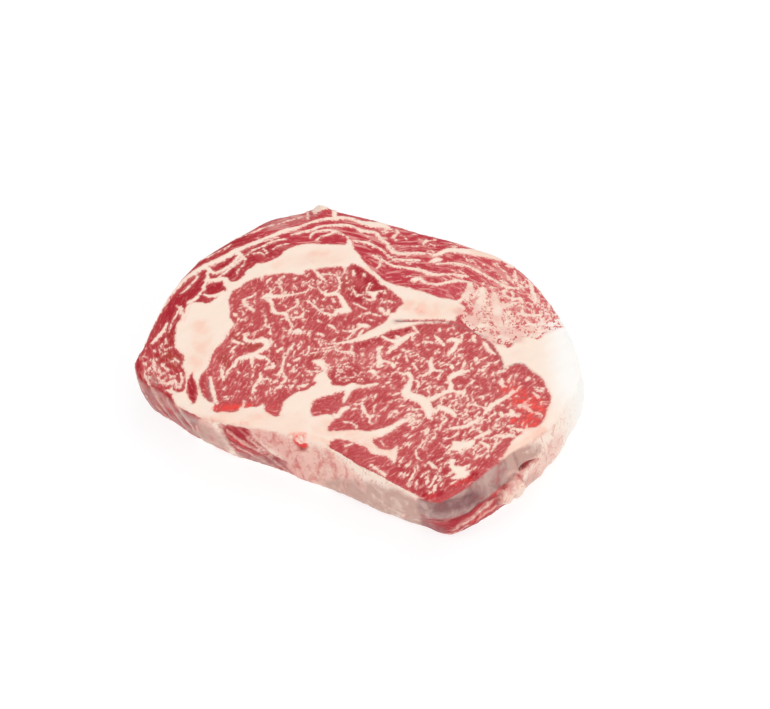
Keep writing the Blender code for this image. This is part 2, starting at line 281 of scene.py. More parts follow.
    [(-18.2, 32, 0.5), (-16.6, 29, 0.8), (-15, 27.4, 1.8), (-13.4, 26.8, 2.2),
     (-11, 27.6, 2), (-9.4, 27, 1.8), (-8, 25, 2.2), (-7, 22.4, 2.6), (-5.8, 20, 2.8),
     (-5.2, 17.6, 3)],
    [(-18.6, 39.5, 1.6), (-17, 37.2, 2), (-15.4, 35.4, 1), (-13.8, 33.6, 0.4)],
    [(-18, 38.8, 0.6), (-13, 38.6, 0.9), (-10.4, 38, 0.8), (-9, 36, 0.9), (-8.6, 32, 0.9),
     (-9.4, 29, 1.2), (-10.8, 27.6, 1)],
    [(-11.6, 24.6, 0.7), (-10.5, 22.8, 0.8)],
    [(-12.3, 20.6, 0.5), (-10.6, 18.6, 0.7)],
    [(-27.4, 6, 1.4), (-25.5, 6.6, 2.6), (-24.5, 5.8, 1.8)],
    [(-31.4, 6.9, 0.9), (-28.2, 6.6, 0.7)],
    [(-12.8, 9.4, 1.2), (-11, 8.4, 1.6), (-9.6, 7, 0.6)],
    [(-16.8, 4.8, 0.8), (-15.4, 3.9, 1.6)],
    [(-21, 6, 0.6), (-21, 4.4, 1.4)],
    [(-24, 34.6, 0.9), (-22.4, 33, 0.6), (-19.6, 30.6, 0.5)],
    [(-53, 16.6, 0.7), (-51.6, 15.6, 1.6)],
    [(-47.6, 4.6, 1.6), (-47, 2, 2), (-43.6, 1.2, 1.6), (-40, 2, 2.6), (-38.4, 0.6, 3),
     (-38, -1.6, 2.8), (-40.6, -3.6, 2), (-43, -6, 2.8), (-46.4, -7.2, 2.8),
     (-49, -7.6, 1.8), (-50.8, -8.6, 0.8)],
    [(-38, -1.4, 2), (-36.6, 0.2, 1.4), (-36.8, 2.4, 0.6)],
    [(-52.4, 1.6, 1.2), (-50.4, 0.6, 1.6), (-48, 0, 0.8)],
    [(-50.2, -0.6, 0.8), (-52, -2, 1.2), (-53.4, -4.4, 0.9)],
    [(-46, 5, 0.5), (-43, 6.2, 0.5), (-40.4, 8, 0.6), (-39, 9.8, 1), (-39.4, 13, 0.7),
     (-39.4, 15, 0.6)],
    [(-38.4, 9.6, 0.7), (-37, 7.6, 0.6), (-37.4, 5.6, 1), (-36.4, 4.6, 0.6)],
    [(-43, -6.6, 1.8), (-40, -7.6, 2.4), (-38.2, -8.2, 1.4), (-36.8, -9.6, 0.8)],
    [(-44.2, -7.6, 1.8), (-44, -10.4, 1.3), (-43.4, -13, 0.8)],
    [(-50.6, -8.4, 1), (-51, -11, 1.8), (-53, -13, 1.1), (-54.4, -15.4, 0.9)],
    [(-56.4, -13, 1.3), (-55.8, -16, 1.6), (-55.2, -18.6, 0.9)],
    [(-35.6, -10.6, 1.2), (-35, -12.4, 1.9)],
    [(-38.2, -13.6, 1.2), (-36, -12.2, 1)],
    [(-31.2, -5, 0.9), (-31, -9, 1), (-31.5, -13, 1.3), (-32, -15.4, 1.5), (-33.2, -16.6, 0.9)],
    [(-31, -16, 1), (-30, -18.4, 1.3), (-30.2, -20.4, 1.4), (-32, -21.6, 0.5)],
    [(-33.6, -4, 1.3), (-31.8, -2.6, 1.3)],
    [(-27, 0, 0.8), (-28.4, -3, 1.4), (-29.4, -5, 0.9), (-29.4, -6.6, 0.6)],
    [(-20.8, -2, 0.7), (-21, -5, 0.8), (-22.6, -6.6, 0.9)],
    [(-24.4, -8, 0.8), (-26, -9.4, 1.1), (-27.2, -9.6, 0.6)],
    [(-29.2, -11.2, 1.2), (-28.6, -11.8, 1.2)],
    [(-27.2, -15, 0.8), (-26.6, -14, 1.3)],
    [(-33.6, -20, 1.2), (-33.2, -19.6, 1)],
    [(-26.2, -20.4, 1), (-25.6, -19.6, 0.8)],
    [(-40.4, -15.6, 0.8), (-40.2, -19, 1.8), (-42, -22, 1.5), (-42.8, -25, 1.2),
     (-43, -27, 0.5)],
    [(-40, -19.4, 0.9), (-37, -18.6, 0.8)],
    [(-33.2, -24, 1.3), (-31.8, -23, 1.9)],
    [(-27.8, -24, 1.1), (-26.8, -22.6, 1)],
    [(-24.6, -23, 0.9), (-22, -22.6, 1.4), (-20.4, -22, 0.6)],
    [(-21.8, -15, 0.9), (-19, -15.9, 1.2), (-16, -15.6, 1)],
    [(-45.6, -16, 0.8), (-46.6, -17.4, 0.9)],
    [(-46.2, -31.5, 0.8), (-46.6, -34, 1)],
    [(-20, -5.6, 0.6), (-16, -5, 0.6), (-10.4, -3.8, 0.7), (-9, -1.4, 0.8)],
    [(-18.4, -3.6, 0.6), (-13, -3.2, 0.5), (-10.4, -2.4, 0.7)],
    [(-16, 0, 0.5), (-11.6, -1.6, 0.7)],
    [(-10, -1, 1.2), (-9.4, -4.4, 1), (-6, -5.4, 0.9), (-2.8, -5.4, 1.1), (-2, -8, 0.6)],
    [(-3, -1.6, 0.8), (-3, -5, 0.9)],
    [(-2.8, 40.8, 1), (-2.7, 39.4, 1.6), (-2.8, 37.8, 0.9)],
    [(1.5, 38.8, 1.4), (1.9, 37.8, 1)],
    [(4.4, 33.4, 0.5), (3.3, 31, 0.8), (3, 28.6, 0.8), (4.6, 27.8, 2), (6.2, 27.4, 2.2),
     (8, 28.6, 0.9), (10, 29, 0.7), (12.8, 29.4, 0.5)],
    [(5.4, 27.6, 1.4), (6, 25.6, 2), (5.4, 24, 1.2), (3, 24.6, 1), (1.8, 25.4, 0.6)],
    [(3.4, 27.2, 0.6), (0.4, 27, 0.9), (-1.2, 26.6, 1), (-2.2, 28.6, 0.8), (-3, 30.6, 0.8)],
    [(9.2, 24.6, 0.6), (9.8, 22.8, 0.8), (12, 23.2, 0.9), (15, 22.5, 0.6)],
    [(8.8, 19.2, 1.9), (10.2, 17.2, 1.7), (11.6, 16, 1.8), (12.2, 18.6, 1.2)],
    [(1, 15.4, 0.7), (4, 16.6, 1), (6, 16, 1), (8.6, 15, 0.9)],
    [(-2.4, 22.2, 0.8), (0.8, 20.2, 0.8), (3, 18.8, 0.5)],
    [(0, 9.6, 2), (2.2, 9, 2.6), (4.2, 8.6, 1.4)],
    [(0.4, 8.6, 1), (-2, 6.6, 1.3), (-5, 6, 1.1), (-6.8, 6.8, 0.6)],
    [(-2, 6, 0.8), (-3.4, 4, 0.8), (-5, 1.6, 0.8)],
    [(1.6, 6.6, 1), (0, 4, 1.4), (-0.8, 2, 1.2)],
    # seam between the two lobes of the eye
    [(14.2, 15, 3.6), (13.4, 11.4, 4.6), (10.4, 8, 4.8), (6.4, 5, 4.6), (2.4, 2.8, 3.4),
     (-2, 1, 2), (-5, 0, 1.3), (-9, -1, 1)],
    [(14, 9, 4), (17.5, 9.8, 3.6), (21.5, 10.4, 2.4), (26, 11.3, 1.4), (32, 11.6, 1),
     (37, 11.2, 0.9)],
    # the eye, right half
    [(9.6, 3.2, 1.4), (13, 1, 1.6), (16, 0.8, 3), (19, 2.6, 2.6), (21.6, 4.4, 1.8),
     (24.6, 5.4, 0.9)],
    [(16.4, 0, 2.5), (15, -2, 1.8), (13, -4.4, 1.6), (11.4, -6, 0.8)],
    [(15.4, 3.6, 1.4), (17, 2.6, 1.6)],
    [(22.4, 9, 1.2), (23.2, 7.4, 1.2), (24.4, 6, 0.8)],
    [(26.6, 0.3, 0.9), (28.4, 0.3, 1.3), (30, 0.2, 0.9)],
    [(31.4, 3.6, 0.9), (32.4, 2.6, 1.5), (33.6, 1, 1.7), (35, -1.2, 1.1)],
    [(33.6, 8, 1), (33.4, 6.2, 0.9)],
    [(36.8, 1, 1.3), (39, 1.6, 2.8), (41, 1, 2.2), (40, -1.6, 1.9), (38.6, -4, 2),
     (36.8, -6.6, 1.6)],
    [(42.8, 4.4, 0.8), (42.4, 1.6, 1.3), (41, 0, 1)],
    [(47.8, 4, 1.3), (47.4, 2.2, 1.9), (48.2, 1, 1.1)],
    [(48.4, -8.2, 1.7), (48.2, -9.2, 1.7)],
    [(7.4, -4.2, 1.5), (8.6, -3.2, 2), (9.2, -2.6, 1)],
    [(8.2, -4.6, 2), (8.2, -7, 1.6), (8.6, -10, 2.5), (7.6, -12.4, 1.5)],
    [(9.4, -10, 1.3), (12, -10.6, 1.2), (14, -12, 2), (14.6, -13.2, 0.9)],
    [(4.6, -15.4, 1.8), (6, -15.8, 2.4), (6.4, -17, 1.2)],
    [(5.8, -18, 0.7), (5, -19.2, 0.8)],
    [(18, -17, 1.1), (20.4, -16.8, 2.2), (21.4, -19, 1.9), (20.6, -22, 2.2), (19.4, -25, 3.6),
     (19.4, -27, 4.2), (22, -28.6, 3.8), (25, -30, 4.2), (26.8, -32, 4.6), (28, -35, 3.8),
     (28.4, -38.6, 2.4)],
    [(20, -15.4, 0.9), (20.6, -17, 1.6)],
    [(27.6, -31, 3.2), (31, -29, 2), (34, -27, 1.9), (37, -25, 2.2), (37.6, -22, 1.9),
     (36.8, -19.4, 1.8), (38.6, -17.4, 2.7), (42, -15.6, 2.2), (45.2, -14.6, 1.1)],
    [(37, -25, 1.8), (40, -26, 1.7), (42.6, -26.2, 1.7), (42, -28.4, 0.8)],
    [(41.6, -15.4, 1.2), (43.2, -11.4, 1), (43.6, -9.4, 0.7)],
    [(42.4, -16, 1), (43, -18.2, 0.9)],
    [(32.4, -34, 2.2), (34.6, -35, 2.8), (37.6, -36.8, 2.3), (39, -38.8, 1.2)],
    [(28.6, -34.4, 1.8), (31, -36.2, 1.5), (32.8, -35, 1.3)],
    [(30, -8.2, 0.9), (29.4, -11, 2), (30, -14, 2.1), (28.6, -16, 1.4), (26, -17.6, 0.8)],
    [(30.6, -14.6, 1.3), (34, -15, 0.8)],
    [(22.4, -20, 0.8), (24.4, -21, 1.2), (24, -23.6, 0.9)],
    [(33.6, -16.4, 0.8), (32.4, -19, 0.9)],
    [(38.2, -12.4, 1.8), (38.4, -13.4, 1.9)],
    [(46.4, -19.4, 0.9), (45.8, -21.4, 1.1)],
    [(41.2, -6, 1), (41.8, -7, 1.2)],
    [(22.4, -11.8, 1), (23.8, -14.6, 1.1)],
    [(17, -6, 0.7), (16, -8.6, 0.8)],
    [(19.4, -4.6, 0.8), (19.4, -8, 0.9), (20, -10, 0.8)],
    [(18, -4, 1.3), (18.6, -3.6, 1)],
    [(21, -5.6, 0.5), (24, -5, 0.6), (25, -7.4, 0.5), (27, -8, 0.5)],
    [(1.6, -30.6, 0.5), (1.6, -34, 1.6), (3, -37, 1.5), (4.6, -39.4, 1.2), (4.6, -41.6, 0.7)],
    [(5, -28, 0.7), (5.6, -30.6, 0.6)],
    [(14.4, -36.2, 0.8), (12, -39, 0.8)],
    [(13.4, -44, 1.6), (16, -42, 2.4), (19, -40.4, 2), (21, -38.6, 1.1), (22.6, -37.4, 0.7)],
    [(20, -43.2, 0.8), (22, -41.4, 1.1), (25, -40, 0.8)],
    [(33, -43.2, 0.8), (35.2, -40, 1.1)],
    [(49.4, -38.8, 1), (46.6, -41.4, 1.8), (43, -43.6, 1.8), (39, -44.6, 1.5), (35, -45, 0.7)],
    [(62.6, -26, 2), (60, -28.6, 1.8), (57, -30.6, 2.1), (54, -33, 2.4), (52.4, -35, 2.3),
     (50.8, -37.2, 1.2)],
    [(47.4, -33, 1.3), (50, -34, 0.9), (52, -34.4, 0.9)],
    [(58.4, -19.4, 1.4), (58, -21.4, 2.2), (58.6, -23.2, 1.4)],
    [(62.4, -17.6, 0.8), (61, -21, 1.1)],
    [(69.4, -18.6, 1.4), (68.8, -19.6, 1.2)],
    [(50, -52.8, 1.6), (51.2, -53.8, 2), (51.6, -55.4, 0.9)],
    [(48.4, -51.6, 0.9), (50, -52.6, 1.6)],
    [(52.4, -46.6, 1.8), (49, -48.2, 1.8), (46.6, -49.6, 1.3)],
    [(55.2, -50, 0.9), (54, -54, 0.9), (53, -56.2, 0.9)],
    [(60.4, -48.6, 1.5), (57.8, -49.2, 1.8)],
    [(55.4, -41, 0.8), (54.4, -45, 1.1)],
    [(64.6, -33.4, 1.6), (67, -34, 2.2), (69, -36, 1.4)],
    [(59.6, -38, 1.2), (62, -38, 2.6), (61.4, -35.8, 1.6)],
    [(62, -38.4, 1.8), (64.6, -38.6, 1)],
    [(57.2, -37, 1.4), (57.6, -38.8, 1.9)],
    [(71, -26.8, 1), (72.6, -28.8, 1.5)],
    [(71, -37, 1), (73.6, -38.6, 1.1)],
    [(74, -25.2, 1.2), (74.8, -26, 0.9)],
    [(61.6, -45.6, 1.5), (65, -46.2, 1.8)],
    [(28.4, -61.6, 1), (29.6, -63.6, 2), (30.8, -64.2, 1.2)],
    [(31.4, -61, 0.9), (33, -59.8, 0.9)],
    [(30.6, -68.4, 1.2), (29.4, -71, 1.1), (28, -73.2, 0.9)],
    [(22.4, -66.2, 1), (21, -69, 1.3), (20, -70.6, 0.7)],
    [(17, -66.4, 0.9), (16, -68.2, 0.7)],
    [(23, -56, 0.5), (23.6, -59, 0.6), (25.2, -60.6, 0.5)],
    [(9, -51, 0.6), (10.2, -53.2, 0.5)],
    [(-5.6, -41.4, 0.7), (-2.6, -42, 0.8), (-0.4, -44.4, 0.6)],
    [(-5, -53.6, 0.9), (-2, -52.6, 0.6)],
    [(5.2, -62.8, 1.2), (7.4, -64.6, 1.2), (10.6, -67.2, 1)],
    [(50.8, -12.6, 0.7), (52.8, -12, 1.2), (54.4, -10.6, 0.7)],
    [(50.2, -14.6, 1.4), (51.6, -13.4, 1)],
    [(57.4, -15.4, 1.6), (59.6, -14.8, 1.4)],
    [(52, 0.4, 1.6), (53.4, -3.6, 2), (55.6, -6, 1.2)],
    [(12.5, -71.3, 1), (20, -75.8, 1.6), (25, -78.4, 1.2)],
]

# short streaks of fat strewn through each muscle: where, how many, which way, how long and wide
steak["marbling"] = [
    {"outline": [(4, -4), (12, 0), (22, 8), (40, 9), (51, 3), (57, -9), (66, -13), (75, -23), (77, -32),
                 (72, -42), (62, -50), (52, -60), (42, -70), (27, -77), (15, -68), (17, -56),
                 (14, -42), (1, -42), (-3, -33), (2, -26), (10, -21), (3, -12)],
     "count": 330, "angle": 48, "spread": 26, "length": (1.2, 4.6), "width": (0.3, 0.9)},
    {"outline": [(14, -22), (30, -20), (52, -26), (70, -30), (74, -38), (60, -51), (50, -62), (42, -70),
                 (27, -77), (16, -68), (18, -54), (14, -38)],
     "count": 170, "angle": 50, "spread": 18, "length": (1.6, 5.4), "width": (0.35, 1.0)},
    {"outline": [(-54, 14), (-50, 30), (-36, 37), (-14, 41), (0, 42), (11, 30), (16, 24), (12, 14),
                 (0, 6), (-8, -6), (-12, -14), (-20, -23), (-32, -30), (-48, -33), (-58, -30),
                 (-60, -14), (-54, 4)],
     "count": 280, "angle": 62, "spread": 45, "length": (1.0, 3.4), "width": (0.3, 0.8)},
    {"outline": [(-6, 58), (10, 66), (30, 62), (48, 60), (60, 48), (66, 38), (58, 33), (44, 36), (30, 34),
                 (18, 36), (8, 44), (2, 52)],
     "count": 90, "angle": None, "spread": 16, "length": (1.5, 5.0), "width": (0.3, 0.7)},
    {"outline": [(46, 34), (60, 34), (66, 42), (78, 30), (86, 14), (74, 4), (56, 2), (46, 10), (45, 24)],
     "count": 260, "angle": None, "spread": 30, "length": (1.4, 5.0), "width": (0.35, 1.0)},
    {"outline": [(-14, -13), (-8, -6), (0, -2), (7, -4), (8, -12), (10, -20), (0, -21), (-9, -21)],
     "count": 75, "angle": 15, "spread": 40, "length": (0.8, 3.0), "width": (0.25, 0.6)},
    {"outline": [(-92, -2), (-88, 6), (-82, 6), (-78, -4), (-72, -14), (-74, -26), (-84, -20), (-90, -12)],
     "count": 40, "angle": 100, "spread": 40, "length": (1.0, 3.0), "width": (0.4, 1.0)},
]

# where the two lobes of the eye lie, for the run of their fibres
steak["eyeRight"] = [(2, -4), (12, 3), (22, 9), (40, 11), (53, 4), (58, -9), (68, -11), (79, -24),
                     (79, -34), (72, -44), (62, -52), (42, -72), (27, -80), (8, -66), (14, -54),
                     (14, -42), (-4, -44), (-8, -34), (0, -24), (8, -22), (0, -12)]
steak["eyeLeft"] = [(-56, 14), (-54, 28), (-44, 37), (-20, 42), (0, 45), (14, 31), (18, 22), (13, 12),
                    (0, 3), (-4, -6), (-10, -14), (-18, -24), (-32, -34), (-60, -36), (-63, -14),
                    (-56, 4)]

# soft marks of tone on the cut face: path of (across, along, width), strength, softness of the edge
steak["deepMarks"] = [
    ([(-66, 38, 5), (-68, 33, 6), (-73, 27, 7), (-78, 20, 7), (-79, 12, 6), (-79, 4, 6)], 0.85, 2.5),
    ([(-58, 45.5, 7), (-56, 48, 5)], 0.8, 2), ([(-57, 38, 5), (-51, 45, 5)], 0.8, 2),
    ([(-64, 31, 5), (-60, 32, 5)], 0.85, 2), ([(-68, 25, 3), (-67, 28, 3)], 0.8, 2),
    ([(-46, 49, 7), (-40, 55, 8), (-34, 57, 8), (-28, 60, 4)], 0.75, 3),
    ([(-22, 62, 6), (-12, 59, 9), (-2, 62, 8), (5, 54, 10), (12, 47, 6)], 0.92, 3),
    ([(0, 42, 6), (5, 36, 8), (8, 30, 7), (0, 27, 8)], 0.95, 4),
    ([(-72, 46, 5), (-60, 56, 7), (-46, 66, 8), (-42, 68, 8)], 0.85, 3),
    ([(-9, 76, 9), (3, 74, 9), (13, 71, 7)], 0.9, 3),
    ([(-24, 64.5, 1.4), (-34, 62.5, 1.4), (-40, 60.5, 1)], 0.9, 1),
    ([(25, 66, 8), (45, 60, 7)], 0.7, 4),
    ([(-68, -17, 2), (-68, -23, 3), (-67, -28, 2)], 0.8, 2),
    ([(-92, -6, 2), (-90, -14, 2), (-85, -20, 2)], 0.95, 1.5),
    ([(-84, -20.5, 1.2), (-80, -22.8, 1.2), (-77, -26, 1.2), (-73.5, -30, 1.2)], 0.95, 1),
    ([(18, -66, 8), (28, -72, 10), (34, -62, 10)], 0.55, 6),
    ([(26, -77, 3), (32, -76, 3)], 0.9, 2), ([(36, -72, 3), (46, -67.5, 3)], 0.9, 2),
    ([(14, 4, 3), (16, 5, 2)], 0.8, 1), ([(20.3, 7.2, 3)], 0.8, 1),
    ([(18, 56, 6), (34, 56, 8), (44, 50, 4)], 0.62, 4),
]
steak["paleMarks"] = [
    ([(-58, 6, 3), (-58, -10, 6), (-62, -22, 4)], 0.5, 4),
    ([(-8, -8, 14), (2, -14, 16), (6, -8, 10)], 0.55, 8),
    ([(48, 24, 14), (60, 18, 18), (74, 12, 14), (72, 30, 14)], 0.8, 8),
    ([(-30, 48, 0.5), (-40, 47, 3), (-45, 50, 3)], 0.5, 2),
    ([(26, 27, 6), (36, 29, 8), (44, 26, 4)], 0.6, 4),
    ([(-40, 67, 6), (-28, 73, 9)], 0.6, 4),
    ([(17, 69, 5), (22, 66, 5)], 0.8, 3),
    ([(-88, -6, 6), (-84, -14, 8), (-78, -18, 8)], 0.5, 5),
]
steak["wetMarks"] = [
    ([(61, -24, 6), (66, -30, 10), (71, -34, 10), (68, -42, 8)], 0.75, 6),
    ([(62, -41, 3), (70, -43, 3), (66, -31, 4), (74, -36, 3)], 1.0, 3),
    ([(-58, -33.5, 2), (-54, -33.6, 4), (-48.5, -33, 3), (-44, -32.4, 2)], 0.9, 2),
    ([(-36, -36, 3), (-34, -33, 3)], 0.3, 2), ([(-72, -31.6, 1.4), (-70, -34.4, 1)], 1.2, 1.2),
    ([(-62, -38.6, 1), (-58, -39.6, 1.4)], 1.0, 1.2), ([(-47, -41.6, 0.8), (-44, -42, 1)], 0.9, 1),
    ([(-27, -47.8, 2), (-22, -48.4, 3)], 2.0, 2),
    ([(-2, -50.8, 1.4), (3, -53, 1.4), (10, -57.2, 1.2)], 0.5, 1.5),
    ([(24.5, 18, 2.4), (26.5, 17.4, 1.6)], 0.8, 3),
    ([(27, -77.4, 2), (31, -76.6, 2)], 0.5, 2), ([(37, -72, 2), (44, -69, 2)], 0.5, 2),
]
steak["brownMarks"] = [
    ([(-83, -7, 3), (-79, -5, 6), (-75, -9, 5)], 0.9, 2),
    ([(-79, 9, 2), (-79.4, 2, 3), (-79, -2, 2)], 0.7, 2),
    ([(-51, 4, 4), (-46, 0, 6), (-41, -1, 4)], 0.8, 3),
    ([(-56, -7, 4), (-53, -10, 5)], 0.7, 3),
    ([(-6, 36, 4), (-6, 31, 5)], 0.8, 3),
    ([(-20, -7, 2), (-9, -6.4, 2)], 0.7, 2),
    ([(23, -24.5, 4)], 0.8, 3), ([(30, -31.5, 3), (35, -31.8, 3)], 0.7, 3),
    ([(28, 44, 4), (32, 37, 4)], 0.6, 3),
    ([(-18, 74, 9), (-14, 75, 6)], 0.5, 4),
    ([(-71.5, 17, 0.7), (-70.3, 10, 0.5)], 0.8, 0.8),
    ([(-61, 26, 0.8), (-59.5, 30, 0.6)], 0.8, 0.8),
    ([(-48, 40, 0.6), (-50.6, 37.4, 0.8), (-53, 34.5, 0.6)], 0.8, 0.8),
    ([(-23.5, -35, 1.6)], 0.6, 1),
    ([(-57.6, 30, 1.4)], 0.6, 1),
]
steak["lineMarks"] = [
    ([(15.4, 12, 1), (19.5, 11.6, 0.7), (24, 11.9, 0.4), (30, 11.9, 0.4), (36, 11.5, 0.4),
      (40, 10, 0.5), (45, 7.8, 0.5), (50, 5.3, 0.5), (53, 2.5, 0.4), (55, -1.5, 0.4),
      (57, -5.5, 0.4), (58.6, -10, 0.5), (59, -14, 0.4), (58, -15.4, 0.3)], 0.8, 0.8),
    ([(59.6, -13.6, 0.4), (62.5, -12.2, 0.6), (65.5, -11.2, 0.6), (68, -12.2, 0.6),
      (70.5, -15, 0.5), (74, -18.5, 0.3)], 0.6, 1),
    ([(-61.4, -19, 0.8), (-60.6, -25, 1), (-59.8, -30, 1)], 0.6, 1),
]
steak["skinMarks"] = [
    ([(-86, -15, 4), (-83, -18, 3)], 0.35, 2.5),
    ([(-40, 67.5, 7), (-28, 73.5, 9), (-20, 76, 6)], 0.22, 3),
    ([(15, 11.5, 3), (18, 12, 2)], 0.4, 2),
]
steak["blushMarks"] = [
    ([(-66, 10, 7), (-65, -2, 8), (-69, -14, 4)], 0.75, 5),
    ([(-36, 43, 4), (-24, 48, 8), (-10, 49, 8)], 0.6, 5),
    ([(22, 20, 8), (34, 18, 7), (42, 16, 5)], 0.9, 5), ([(-52, -39, 8), (-26, -42, 10)], 0.7, 5),
    ([(-14, -44, 8), (0, -48, 5), (14, -56, 6)], 0.8, 4),
    ([(-4, -54, 3), (8, -61, 3), (14, -66, 3)], 0.8, 3),
    ([(-70, -36, 2), (-51, -41, 2), (-36, -42.6, 2), (-21, -48, 2), (-11, -52, 2)], 1.0, 2),
    ([(46, -69, 5), (56, -61.5, 6), (66, -54, 7), (74, -47, 5)], 1.6, 3),
    ([(-70, -12, 0.5), (-71, -18, 0.6), (-72, -23, 0.5)], 1.0, 1),
    ([(-73.5, 13, 0.5), (-71, 22, 0.5)], 1.0, 1), ([(-74, 17, 0.4), (-75, 22, 0.5)], 1.0, 1),
    ([(58, 22, 6), (52, 26, 5), (58, 12, 4)], 0.55, 4),
    ([(50, 51, 6), (60, 49, 5)], 0.6, 4),
]

# the edge of the steak: each point is how far round from the left end, how high, and the width there
steak["edgeFat"] = [
    [(57, 40), (57, 26.4), (63, 26.8), (68, 25.5), (69.5, 22), (72, 19), (76, 14.5), (80, 12.3),
     (85, 10.3), (84.4, 8), (88, 3), (90, -6), (121, -6), (119, 12), (117, 18), (118, 40)],
    [(43, -6), (44, 12), (46, 20), (50, 27), (55, 40), (58, 40), (57, 26.5), (57.6, 20), (59, 13),
     (61.5, 7), (61, -6)],
    [(117, -6), (118, 12), (117, 40), (145, 40), (143, 20), (145.5, 10), (144, -6)],
    [(190.6, -6), (191, 6), (192.4, 12), (193.4, 16), (191, 19), (190.4, 24), (191, 40),
     (300, 40), (302, 22), (298, 12), (300, -6)],
]
steak["edgeLean"] = [
    [(192.4, 18.6), (195, 20), (199, 19.4), (203.4, 17), (199, 16.2), (194.4, 16.4)],
    [(86, 25.4), (88, 27.2), (91, 26.8), (93.4, 25), (93, 22.4), (90.4, 20.8), (88.4, 22.4)],
]
steak["edgeVeins"] = [
    [(182.4, 12.4, 6.6)], [(188, 13.6, 7.8)],
    [(60, 22, 0.3), (66, 17.6, 0.5), (73, 12, 0.3)], [(61, 15, 0.3), (68, 9.4, 0.6), (77, 4, 0.3)],
    [(68, 21, 0.3), (72, 16, 0.5), (77, 11, 0.3)], [(76, 10.6, 0.3), (81, 6, 0.5), (86, 1, 0.3)],
    [(2, 25, 0.4), (7, 16, 0.7), (11, 6, 0.4)], [(8, 27, 0.4), (14, 18, 0.8), (20, 4, 0.5)],
    [(17, 27, 0.6), (23, 19, 1), (28, 9, 0.5)], [(21, 12, 0.4), (25, 4, 0.6)],
    [(26, 27, 0.7), (32, 19, 1.1), (37, 8, 0.7)], [(33, 27, 1.2), (40, 20, 1.8), (43, 10, 1.2)],
    [(34, 6, 0.8), (39, 1, 1)],
    [(159, 7, 0.5), (168, 9.8, 1.1), (176, 12.4, 0.9)], [(158, 3.4, 0.4), (165, 5, 0.7)],
    [(170, 7, 0.4), (178, 8.6, 0.8), (182, 9.4, 0.4)], [(182, 6, 0.5), (187, 6.4, 0.9)],
    [(310, 26, 1), (330, 24, 1.6), (352, 22, 0.8)], [(372, 20, 0.6), (392, 17, 1.4), (414, 15, 0.6)],
    [(318, 14, 0.5), (345, 10, 1.2), (366, 8, 0.5)], [(420, 22, 0.5), (445, 18, 1.4), (470, 16, 0.6)],
    [(440, 8, 0.4), (470, 6, 1), (498, 4, 0.5)], [(480, 24, 0.4), (500, 18, 1), (516, 10, 0.5)],
]
# deeper tone of the lean on the edge; its narrow marks along the folds and in the pocket are painted shade
# in the creases
steak["edgeDeep"] = [
    ([(46, 15, 8), (52, 10, 8)], 0.75, 5), ([(39, 24, 4)], 0.7, 2),
    ([(2, 5, 3), (4, 15, 4)], 0.8, 3), ([(12, 3, 4), (20, 22, 3)], 0.7, 4),
    ([(25, 9, 3), (34, 17, 3)], 0.75, 3), ([(13, 24.5, 5)], 0.8, 3), ([(30, 24, 5)], 0.8, 3),
    ([(6, 10, 5), (10, 2, 4)], 0.7, 3),
    ([(148, 5, 9), (168, 6, 11), (186, 5, 9)], 0.8, 3), ([(64, 24, 3), (70, 19, 6), (78, 10, 6)], 0.9, 3),
    ([(18, 10, 4), (22, 3, 4)], 0.7, 3), ([(36, 22, 4), (38, 12, 4)], 0.5, 3),
    ([(60, 22, 5), (64, 17, 10), (68, 15, 6)], 1.0, 4), ([(86, 26, 2), (95, 25, 2)], 0.7, 2),
    ([(90.4, 22.4, 3.4)], 1.0, 1.5),
    # the narrow marks below, along the pressed folds and in the pocket, are painted crease shade; the wider
    # ones are the lean's darker tone
    ([(150, 12, 1), (155, 13.8, 1.4), (160, 12.2, 1.4), (170, 14.2, 1.6), (178, 13, 1.4),
      (184, 16.6, 1)], 0.95, 1.5),
    ([(163, 9, 3), (168, 2, 4)], 0.75, 3), ([(173, 9, 3), (179, 1, 4)], 0.8, 3),
    ([(157, 7, 3), (160, 2, 4)], 0.6, 3), ([(179, 8.4, 2), (187, 8.6, 2)], 0.9, 2),
    ([(152, 23, 5), (160, 22, 7), (168, 20, 6)], 0.8, 3), ([(152, 25.6, 1), (158, 25.4, 1)], 0.9, 1.5),
    ([(193, 18.6, 1.4), (197, 18, 2.8), (202, 17, 1)], 1.0, 1),
    ([(193.4, 27, 1), (193.6, 20, 1)], 0.8, 1), ([(191.6, 15.4, 1), (196, 10, 1)], 0.7, 1),
    ([(300, 10, 20), (380, 14, 26), (460, 16, 26), (523, 14, 20)], 0.7, 12),
    ([(380, 25, 6), (420, 25, 7), (455, 25, 6)], 0.95, 4),
]
steak["edgePale"] = [
    ([(173, 24, 8), (188, 23, 8)], 0.9, 3), ([(148, 16, 4), (160, 16, 4)], 0.4, 3),
]
